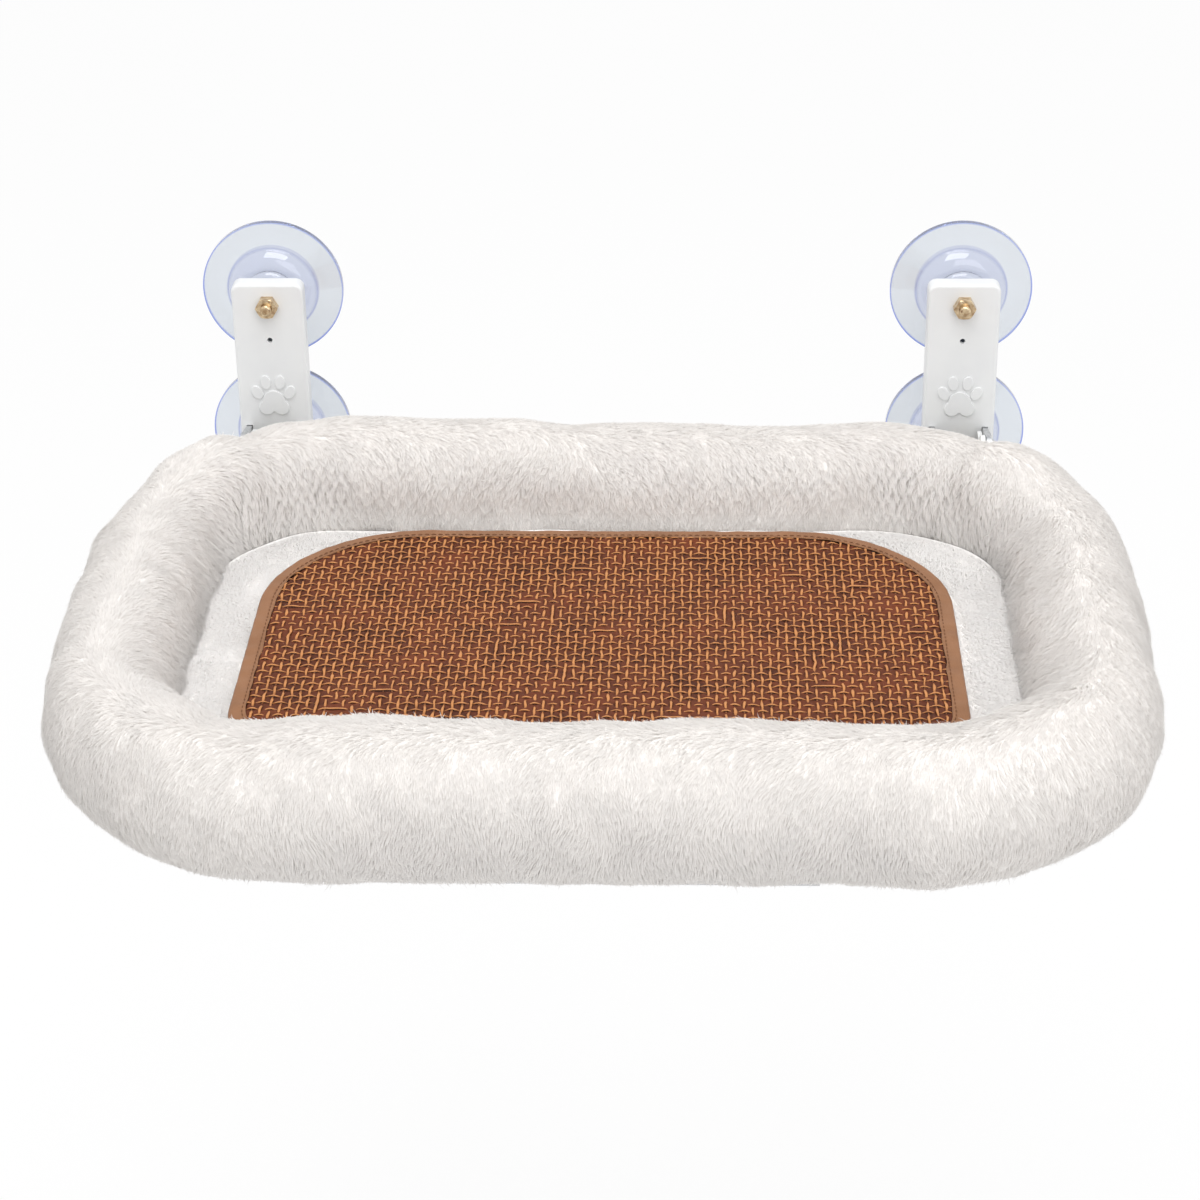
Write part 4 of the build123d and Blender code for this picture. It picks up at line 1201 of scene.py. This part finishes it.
@dataclass
class Mat:
    """The woven mat: a dark ground, light narrow strands over and under it, and bound edges."""

    finishes: Finishes
    rear_corner: float = 0.082
    front_corner: float = 0.032
    binding: float = 0.008
    pitch_x: float = 0.00437
    pitch_y: float = 0.00605
    strand_width: float = 0.00112
    strand_height: float = 0.0006
    strand_sides: int = 6
    lift: float = 0.00055
    tape_edge: float = 1.6 * MM
    tape_half: float = 0.25 * MM
    tape_points: int = 760
    pull: float = 0.3 * MM
    stitch_spacing: float = 3.6 * MM
    stitch_length: float = 2.6 * MM
    stitch_radius: float = 0.24 * MM
    stitch_inset: float = 1.5 * MM
    strand_margin: float = 4 * MM
    ground_margin: float = 2.5 * MM
    ground_sink: float = 0.16 * MM
    pillow: float = 0.14 * MM
    groove: float = 0.9 * MM
    groove_depth: float = 0.5 * MM
    streak: float = 1.4 * MM
    tuck_depth: float = 1.1 * MM
    backing_inset: float = 1.2 * MM
    broad: Waves = Waves(0.045, 71, height=0.12 * MM)
    fine: Waves = Waves(0.0035, 72, height=0.07 * MM, count=30)
    ripple: Waves = Waves(0.014, 81, height=0.12 * MM)
    slack: Waves = Waves(0.05, 82, height=0.12 * MM)
    pulls: Waves = Waves(0.02, 83)
    outline: Outline = field(init=False)
    top: float = field(init=False)
    bottom: float = field(init=False)

    def __post_init__(self) -> None:
        """Takes the mat's size from the frame."""
        low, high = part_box("mat_binding")
        middle = (low[1] + high[1]) / 2
        half_depth = (high[1] - low[1]) / 2
        self.outline = Outline(high[0], half_depth, self.rear_corner, self.front_corner, middle)
        self.top, self.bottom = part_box("mat_weave")[1][2], low[2]

    @staticmethod
    def over(column: Array, row: Array) -> Array:
        """Whether the lengthwise strand lies over at a crossing.

        Every second crossing, as on a chessboard, with about one in seventy turned round at random.
        """
        plain = np.mod(column + row, 2) < 1
        scatter = np.mod(np.sin(column * 127.1 + row * 311.7) * 43758.5453, 1.0)
        return np.where(scatter < 0.015, ~plain, plain)

    def rise(self, number: Array, crossing: Array, along_y: bool) -> Array:
        """A strand's height as a share of its lift, from -1 under to 1 over.

        It goes from crossing to crossing as (a + b + (a - b) cos(pi t)) / 2.

        Args:
            number: The strand's own number.
            crossing: Places along it, in crossings.
            along_y: Whether it runs along Y.

        Returns:
            The shares.
        """
        low = np.floor(crossing)
        if along_y:
            start, end = self.over(number, low), self.over(number, low + 1)
        else:
            start, end = ~self.over(low, number), ~self.over(low + 1, number)
        start, end = 2.0 * start - 1, 2.0 * end - 1
        return (start + end + (start - end) * np.cos((crossing - low) * math.pi)) / 2

    def tuck(self, spot: Array, along_y: bool) -> Array:
        """How far the weave dips under the tape, over the millimetres round its inner edge.

        The spots are places from the mat's middle, across and along a strand.
        """
        flat = spot[..., :2] if along_y else spot[..., 1::-1]
        inside = self.outline.depth_inside(flat + [0, self.outline.middle_y])
        under = np.clip((self.binding + 1 * MM - inside) / (2 * MM), 0, 1)
        return self.tuck_depth * under**2

    def strands(self, run: Run) -> Surface:
        """All the narrow strands of one direction, each a flattened ring carried along.

        Args:
            run: The way the strands run.

        Returns:
            The surface.
        """
        along_y = run is Run.LENGTHWISE
        pitch, step = (self.pitch_x, self.pitch_y) if along_y else (self.pitch_y, self.pitch_x)
        within = self.outline.drawn_in(self.strand_margin)
        limit, longest = within.half_width, within.half_depth
        if not along_y:
            limit, longest = longest, limit
        count = math.floor((limit - 1 * MM) / pitch)
        number = np.arange(-count, count + 1)
        offset = number * pitch
        low, high = within.span(offset, along_y)
        samples = 4 * math.ceil(2 * longest / step) + 1
        place = low[:, None] + (high - low)[:, None] * np.linspace(0, 1, samples)[None, :]
        mine = np.broadcast_to(number[:, None], place.shape)
        share = self.rise(mine, place / step, along_y)
        spot = joined(mine * pitch, place, 0.0)
        side = offset[:, None] + Waves(0.009, 51 + along_y, height=0.2 * MM).at(spot)
        level = self.top - 0.1 * MM + self.lift * share
        level += Waves(0.012, 55 + along_y, height=0.08 * MM).at(spot) - self.tuck(spot, along_y)
        wide = 1.12 if along_y else 0.82
        wide = wide + Waves(0.006, 61 + along_y, height=0.16).at(spot) + 0.1 * share
        turn = circle(self.strand_sides)
        across = side[..., None] + wide[..., None] * np.cos(turn) * self.strand_width / 2
        forward = place[..., None]
        up = level[..., None] + np.sin(turn) * self.strand_height / 2
        middle = self.outline.middle_y
        flat = (across, forward + middle) if along_y else (forward, across + middle)
        points = joined(*flat, up)
        drawn = forward / (6 * self.strand_width) + mine[..., None] * 3.7
        mapped = joined(drawn, turn)
        faces = rod_faces(points, flip=along_y)
        return Surface(points.reshape(-1, 3), faces, {"strand": mapped.reshape(-1, 2)})

    def ground(self) -> Surface:
        """The dark strands: low pillows between the light strands, sunk where those lie on top.

        A pillow is |sin(pi x / a)|^0.5 |sin(pi y / b)|^0.5. Beside a strand that is up, the ground
        sinks by exp(-(d / w)^2) times its rise.
        """
        within = self.outline.drawn_in(self.ground_margin)
        offset = np.linspace(-1, 1, 247) * within.half_depth
        low, high = within.span(offset, False)
        x = low[:, None] + (high - low)[:, None] * (np.linspace(-1, 1, 402) + 1) / 2
        y = np.broadcast_to(offset[:, None], x.shape)
        across, along = x / self.pitch_x, y / self.pitch_y
        pillow = (np.abs(np.sin(math.pi * across)) * np.abs(np.sin(math.pi * along))) ** 0.5
        column, row = np.rint(across), np.rint(along)
        by_column = np.exp(-(((across - column) * self.pitch_x / self.groove) ** 2))
        by_row = np.exp(-(((along - row) * self.pitch_y / self.groove) ** 2))
        sunk = by_column * np.maximum(self.rise(column, along, True), 0)
        sunk = np.maximum(sunk, by_row * np.maximum(self.rise(row, across, False), 0))
        spot = joined(x, y, 0.0)
        z = self.top - self.ground_sink + self.pillow * pillow - self.groove_depth * sunk
        z += self.broad.at(spot) + self.fine.at(spot) - self.tuck(spot, True)
        points = joined(x, y + self.outline.middle_y, z)
        odd = np.mod(np.floor(across) + np.floor(along), 2) > 0
        u, v = x / self.streak + 7.0 * odd, y / self.streak * 5
        mapped = joined(np.where(odd, u * 5, u), np.where(odd, v / 5, v))
        return Surface.on_grid(points, False, False, strand=mapped)

    def underlay(self) -> Surface:
        """The cloth backing under the weave: a thin slab with a soft rim."""
        low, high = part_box("mat_backing")
        half, inset = (high[2] - low[2]) / 2, self.backing_inset
        turn = np.linspace(0, math.pi, 7)
        rim = [(inset - half * math.sin(t), 1.0, low[2] + half * (1 + math.cos(t))) for t in turn]
        shares = (0.0, 0.3, 0.6, 0.9)
        top = [(inset, s, high[2]) for s in shares]
        base = [(inset, s, low[2]) for s in shares[::-1]]
        return slab(self.outline, np.array([*top, *rim, *base]), 240)

    def tape(self) -> Surface:
        """The binding: a folded tape that wraps the edge, carried along the outline.

        Its section runs in over the top, round the edge on a half ellipse and back underneath, and
        is thickened to both sides. Small waves show where it was pulled round the corners.
        """
        count, edge = self.tape_points, self.tape_edge
        turn = np.linspace(0.2, math.pi - 0.2, 9)
        reach = np.concatenate([
            np.linspace(self.binding, edge, 8),
            edge * (1 - np.sin(turn)),
            np.linspace(edge, self.binding, 6),
        ])
        side = np.concatenate([np.full(8, 1.0), np.cos(turn), np.full(6, -1.0)])
        level = self.bottom + 0.3 * MM + (side + 1) / 2 * (self.top - self.bottom - 0.05 * MM)
        path = joined(reach, level)
        slope = np.gradient(path, axis=0)
        thick = self.tape_half * unit(joined(slope[:, 1], -slope[:, 0]))
        section = np.concatenate([path + thick, (path - thick)[::-1]])
        steps = np.arange(count) / count
        outward = self.outline.at(steps)[1]
        rows = [
            np.c_[self.outline.at(steps, float(inset))[0], np.full(count, height)]
            for inset, height in section
        ]
        points = np.stack(rows, axis=1)
        top_side = (section[:, 1] > self.bottom + 1 * MM)[None, :]
        points[..., 2] += (self.ripple.at(points) + self.slack.at(points)) * top_side
        share = np.clip(section[:, 0] / self.binding, 0, 1)[None, :] ** 2
        pulled = self.pull * share * self.pulls.at(points)
        points[..., :2] -= outward[:, None, :] * (pulled * top_side)[..., None]
        mapped = joined((steps * self.outline.length())[:, None], walked(section))
        return Surface.on_grid(points, True, True, cloth=mapped)

    def stitches(self) -> Surface:
        """One row of stitches near the tape's inner edge, each a small bent capsule.

        A stitch is a ring of points carried along an arc. Its radius follows (1 - (2 t)^4)^0.5.
        """
        inset = self.binding - self.stitch_inset
        total = self.outline.length(inset)
        count = int(total / self.stitch_spacing)
        along = np.linspace(-0.5, 0.5, self.strand_sides)
        starts = np.arange(count)[:, None] * total / count
        steps = (starts + along[None] * self.stitch_length) / total
        centre, out = self.outline.at(steps, inset)
        rise = 0.3 * MM * np.cos(along * math.pi) + 0.72 * MM
        thick = self.stitch_radius * np.sqrt(np.maximum(1 - (2 * along) ** 4, 0.12))[:, None]
        turn = circle(self.strand_sides)
        flat = centre[:, :, None, :] + out[:, :, None, :] * (np.cos(turn) * thick)[None, ..., None]
        z = self.top + rise[:, None] + np.sin(turn) * thick
        points = joined(flat[..., 0], flat[..., 1], z)
        mapped = np.broadcast_to(joined(along[:, None] * 3, turn / 6), (*points.shape[:3], 2))
        return Surface(points.reshape(-1, 3), rod_faces(points), {"strand": mapped.reshape(-1, 2)})

    def build(self) -> None:
        """Builds the mat's pieces."""
        worn = self.finishes
        self.ground().piece("mat_ground", worn["weave_base"], "brown_weave", "mat_weave")
        for run in Run:
            name = f"mat_strands_{run.value}"
            self.strands(run).piece(name, worn["weave_strand"], "brown_weave")
        underlay = self.underlay()
        underlay.piece("mat_underlay", worn["mat_backing_cloth"], "brown_cloth", "mat_backing")
        self.tape().piece("mat_tape", worn["binding_tape"], "brown_tape", "mat_binding")
        self.stitches().piece("mat_stitches", worn["stitch_thread"], "brown_tape")


@dataclass
class Deck:
    """The cloth deck stretched over the frame, and the elastic loops that hold the roll to it."""

    finishes: Finishes
    half_width: float = 0.220
    half_depth: float = 0.138
    corner: float = 0.078
    tube_radius: float = 0.008
    wrap_radius: float = 0.00875
    lap_reach: float = 0.0354
    lap_gap: float = 1.22 * MM
    end_flap: float = 0.105
    side_flap: float = 0.019
    tie_place: float = 0.125
    tie_width: float = 0.016
    tie_thickness: float = 0.0012
    notch_half: float = 0.010
    notch_depth: float = 0.012
    thickness: float = 0.0011
    merge: float = 1e-5
    sag: Waves = Waves(0.09, 91, height=0.12 * MM)
    calm_edge: float = 0.03
    tie_gap: float = 0.1 * MM
    middle_y: float = field(init=False)
    tube_z: float = field(init=False)

    def __post_init__(self) -> None:
        """Takes the tubes' places from the frame."""
        low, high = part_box("frame_tube_rear")
        self.middle_y = high[1] - self.tube_radius - self.half_depth
        self.tube_z = (low[2] + high[2]) / 2

    def wrap(self) -> tuple[Array, Array]:
        """A flap's path: from the top of the tube, outside and under it, and in below the deck.

        The arc is r (cos h, sin h) with h from 90 down to -239 degrees, and then a straight lap.

        Returns:
            The path as steps outwards from the tube and heights above its middle, and its lengths.
        """
        lap_height = self.wrap_radius - self.lap_gap
        last = math.pi - math.asin(lap_height / self.wrap_radius) - 2 * math.pi
        turn = np.linspace(math.pi / 2, last, 30)
        arc = self.wrap_radius * joined(np.cos(turn), np.sin(turn))
        lap = joined(np.linspace(arc[-1, 0], -self.lap_reach, 8)[1:], lap_height)
        path = np.concatenate([arc, lap])
        return path, walked(path)

    def top(self) -> tuple[Array, Array, Array]:
        """The flat of the deck: a grid of x and shares of the half depth there.

        The half depth is the outline's, less the notches for the ties.

        Returns:
            The columns' x, the rows' shares and the grid's points, from the middle of the tubes.
        """
        hair = 0.05 * MM
        notch = self.tie_place - self.notch_half, self.tie_place + self.notch_half
        marks = [*notch, notch[0] - hair, notch[1] + hair, self.end_flap]
        even = np.linspace(-self.half_width, self.half_width, 89)
        x = np.unique(np.round(np.r_[even, marks, np.negative(marks)], 6))
        straight = self.half_depth - self.corner
        flap = self.side_flap / straight
        parts = (-1, -flap, 14), (-flap, flap, 9), (flap, 1, 14)
        share = np.unique(np.concatenate([np.linspace(*part) for part in parts]))
        into = np.maximum(np.abs(x) - (self.half_width - self.corner), 0)
        depth = straight + np.sqrt(np.maximum(self.corner**2 - into**2, 0))
        cut = (np.abs(x) > notch[0] - hair / 2) & (np.abs(x) < notch[1] + hair / 2)
        depth -= self.notch_depth * cut
        y = share[None, :] * depth[:, None]
        calm = np.clip((depth[:, None] - np.abs(y)) / self.calm_edge, 0, 1)
        calm *= np.clip((self.half_width - np.abs(x)) / self.calm_edge, 0, 1)[:, None]
        sag = self.sag.at(joined(x[:, None], y, 0.0)) * calm
        return x, share, joined(x[:, None], y, self.wrap_radius + sag)

    def sheet(self) -> Surface:
        """The deck cloth as one surface: a rounded rectangle with four flaps.

        The flaps carry their edge's points along the wrap's path. Points that meet are joined.
        """
        x, share, top = self.top()
        grids, maps = [top], [top[..., :2]]
        quads = [grid_quads(*top.shape[:2], False, False)[:, ::-1]]
        path, run = self.wrap()
        straight, start = self.half_depth - self.corner, top[..., 0].size
        ends = x[np.abs(x) <= self.end_flap + self.merge]
        sides = share[np.abs(share) <= self.side_flap / straight + 1e-9] * straight
        for along_y, sign in ((True, 1), (True, -1), (False, 1), (False, -1)):
            half = self.half_depth if along_y else self.half_width
            out, flat_out, up = sign * (half + path[:, 0]), sign * (half + run), path[:, 1]
            if along_y:
                spots, mapped = joined(ends[:, None], out, up), joined(ends[:, None], flat_out)
            else:
                spots = joined(out[:, None], sides, up[:, None])
                mapped = joined(flat_out[:, None], sides)
            grids.append(spots)
            maps.append(mapped)
            quads.append(start + grid_quads(*spots.shape[:2], False, False)[:, ::-sign])
            start += spots[..., 0].size
        points = np.concatenate([grid.reshape(-1, 3) for grid in grids]) + [0, 0, self.tube_z]
        mapped = np.concatenate([flat.reshape(-1, 2) for flat in maps])
        near = np.round(points / self.merge).astype(int)
        _, first, same = np.unique(near, axis=0, return_index=True, return_inverse=True)
        points = points[first] + np.array([0, self.middle_y, 0])
        return Surface(points, [same.ravel()[np.concatenate(quads)]], {"cloth": mapped[first]})

    def build(self) -> None:
        """Builds the deck and the ties."""
        canvas = self.finishes["deck_canvas"]
        deck = self.sheet().piece("deck_cloth", canvas, "grey_canvas", "deck_fabric")
        wall = deck.modifiers.new("wall", "SOLIDIFY")
        wall.thickness, wall.offset = self.thickness, 0.0
        for end, toward in (("rear", 1), ("front", -1)):
            for side, across in (("left", -1), ("right", 1)):
                tie = self.tie(across * self.tie_place, toward * self.half_depth + self.middle_y)
                name = f"tie_{end}_{side}"
                tie.piece(name, self.finishes["tie_elastic"], "white_elastic", f"bed_{name}")

    def tie(self, x: float, y: float) -> Surface:
        """An elastic loop round a tube: a flat ribbed band carried round a circle.

        Its section is a superellipse, |cos t|^0.4 wide and |sin t|^0.6 thick.

        Args:
            x: The loop's place along the tube.
            y: The tube's own place.

        Returns:
            The surface.
        """
        turn, section = circle(56)[:, None], circle(20)[None, :]
        cosine, sine = np.cos(section), np.sin(section)
        wide = self.tie_width / 2 * np.sign(cosine) * np.abs(cosine) ** 0.4
        thick = self.tie_thickness / 2 * np.sign(sine) * np.abs(sine) ** 0.6
        radius = self.tube_radius + self.tie_gap + self.tie_thickness / 2 + thick
        spots = joined(x + wide, y + radius * np.cos(turn), self.tube_z + radius * np.sin(turn))
        mapped = joined(turn * self.tube_radius, wide)
        return Surface.on_grid(spots, True, True, flip=True, cloth=mapped)


WORN = {
    "clear_vinyl": ("suction_cup",),
    "brass_plating": ("cup_stud", "cup_nut"),
    "bracket_plastic": ("bracket_cover",),
    "burnished_steel": ("insert_screws",),
    "zinc_plating": (
        "bracket_insert", "hinge_pin", "pin_clip", "arm_bolts", "arm_nuts", "bar_screws",
        "tube_joiner", "joiner_screws", "deck_snaps",
    ),
    "bush_nylon": ("hinge_bush",),
    "coated_steel": ("support_arm", "cross_bar", "frame_tube"),
    "heel_rubber": ("stop_pad",),
}


def dress_hardware(finishes: Finishes) -> None:
    """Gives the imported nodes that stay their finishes, by the starts of their names."""
    for name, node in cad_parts.items():
        for finish, stems in WORN.items():
            if name.startswith(stems):
                node.data.materials.clear()
                node.data.materials.append(finishes[finish])
    log.info("finished %d packed nodes", len(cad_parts))


def stand(thing: bpy.types.Object, place: Place, right: Array, up: Array, back: Array) -> None:
    """Links an object at its place, with its own X, Y and Z pointing right, up and back."""
    turned = np.stack([right, up, back, np.array(place)], axis=1)
    thing.matrix_world = Matrix([*turned.tolist(), (0, 0, 0, 1)])
    bpy.context.scene.collection.objects.link(thing)


@dataclass(frozen=True)
class Lamp:
    """A square soft box of a side and a power, aimed at the bed."""

    name: str
    place: Place
    size: float
    power: float
    target: Place = (0, -0.25, -0.03)

    def build(self) -> None:
        """Hangs the lamp."""
        data = bpy.data.lights.new(self.name, "AREA")
        data.size, data.energy = self.size, self.power
        back = unit(np.array(self.place) - np.array(self.target))
        right = unit(np.cross([0, 0, 1], back))
        lamp = bpy.data.objects.new(self.name, data)
        stand(lamp, self.place, right, np.cross(back, right), back)


@dataclass(frozen=True)
class Studio:
    """Camera, light and floor: a pale room with soft light from above and in front."""

    lens_pixels: float = 2892.0
    image_side: float = 1200.0
    pitch: float = 0.494
    yaw: float = -0.039
    roll: float = -0.014
    eye: Place = (0.0482, -1.5295, 0.6663)
    sensor: float = 36.0
    room_light: float = 0.78
    floor_drop: float = 0.42
    floor_reach: float = 12.0
    floor_glow: float = 0.9
    lamps: tuple[Lamp, ...] = (
        Lamp("overhead", (-0.05, -0.5, 1.5), size=1.2, power=15.6),
        Lamp("front", (0.6, -1.8, 0.85), size=1.4, power=7.8),
    )

    def camera(self) -> None:
        """Places the camera where the photograph was taken from."""
        data = bpy.data.cameras.new("camera")
        data.sensor_width, data.sensor_fit = self.sensor, "HORIZONTAL"
        data.lens = self.lens_pixels / self.image_side * data.sensor_width
        data.clip_start, data.clip_end = 0.05, 50.0
        level = math.cos(self.pitch)
        ahead = np.array([
            math.sin(self.yaw) * level, math.cos(self.yaw) * level, -math.sin(self.pitch),
        ])
        right = unit(np.cross(ahead, [0, 0, 1]))
        up = np.cross(right, ahead)
        cosine, sine = math.cos(self.roll), math.sin(self.roll)
        camera = bpy.data.objects.new("camera", data)
        stand(camera, self.eye, cosine * right + sine * up, cosine * up - sine * right, -ahead)
        bpy.context.scene.camera = camera

    def world(self) -> None:
        """A soft grey room that looks white to the camera, to mirrors and through clear plastic."""
        world = bpy.data.worlds.new("room")
        world.use_nodes = True
        bpy.context.scene.world = world
        room = Nodes(world.node_tree)
        values = {"Value": room.seen(), "To Min": self.room_light, "To Max": 1.0}
        strength = room.add("ShaderNodeMapRange", values).outputs["Result"]
        background = world.node_tree.nodes["Background"]
        room.put(background.inputs["Color"], (1, 1, 1, 1))
        room.put(background.inputs["Strength"], strength)

    def floor(self) -> None:
        """A wide pale floor well below the perch, clear from its underside."""
        recipe = Recipe("studio_floor")
        clouds = recipe.noise(recipe.where(), scale=1.5, detail=2.0)
        tint = recipe.ramp(clouds, (0.3, paint(246, 246, 246)), (0.7, paint(250, 250, 250)))
        recipe.set(Base_Color=tint, Roughness=0.9)
        glow = recipe.add("ShaderNodeEmission", {"Strength": 1.0}).outputs["Emission"]
        share = recipe.line(recipe.seen(), self.floor_glow)
        above = recipe.mix(share, recipe.shader.outputs["BSDF"], glow)
        below = recipe.add("ShaderNodeNewGeometry").outputs["Backfacing"]
        clear = recipe.add("ShaderNodeBsdfTransparent").outputs["BSDF"]
        recipe.output(recipe.mix(below, above, clear))
        steps = np.linspace(-self.floor_reach, self.floor_reach, 9)
        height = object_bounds()[0][2] - self.floor_drop
        points = joined(steps[:, None], steps[None, :], height)
        floor = Surface.on_grid(points, False, False, flip=True).place("floor")
        floor.data.materials.append(recipe.material)
        floor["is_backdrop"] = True

    def build(self) -> None:
        """Sets the stage."""
        bpy.context.scene.view_settings.view_transform = "Standard"
        self.camera()
        self.world()
        for lamp in self.lamps:
            lamp.build()
        self.floor()


def main() -> None:
    """Builds the dressed perch."""
    logging.basicConfig(level=logging.INFO, format="%(name)s: %(message)s")
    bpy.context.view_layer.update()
    Studio().build()
    finishes = all_finishes()
    mat = Mat(finishes)
    dress_hardware(finishes)
    Bolster(finishes).build()
    Pad(finishes, mat.outline).build()
    mat.build()
    Deck(finishes).build()


if __name__ == "__main__":
    main()
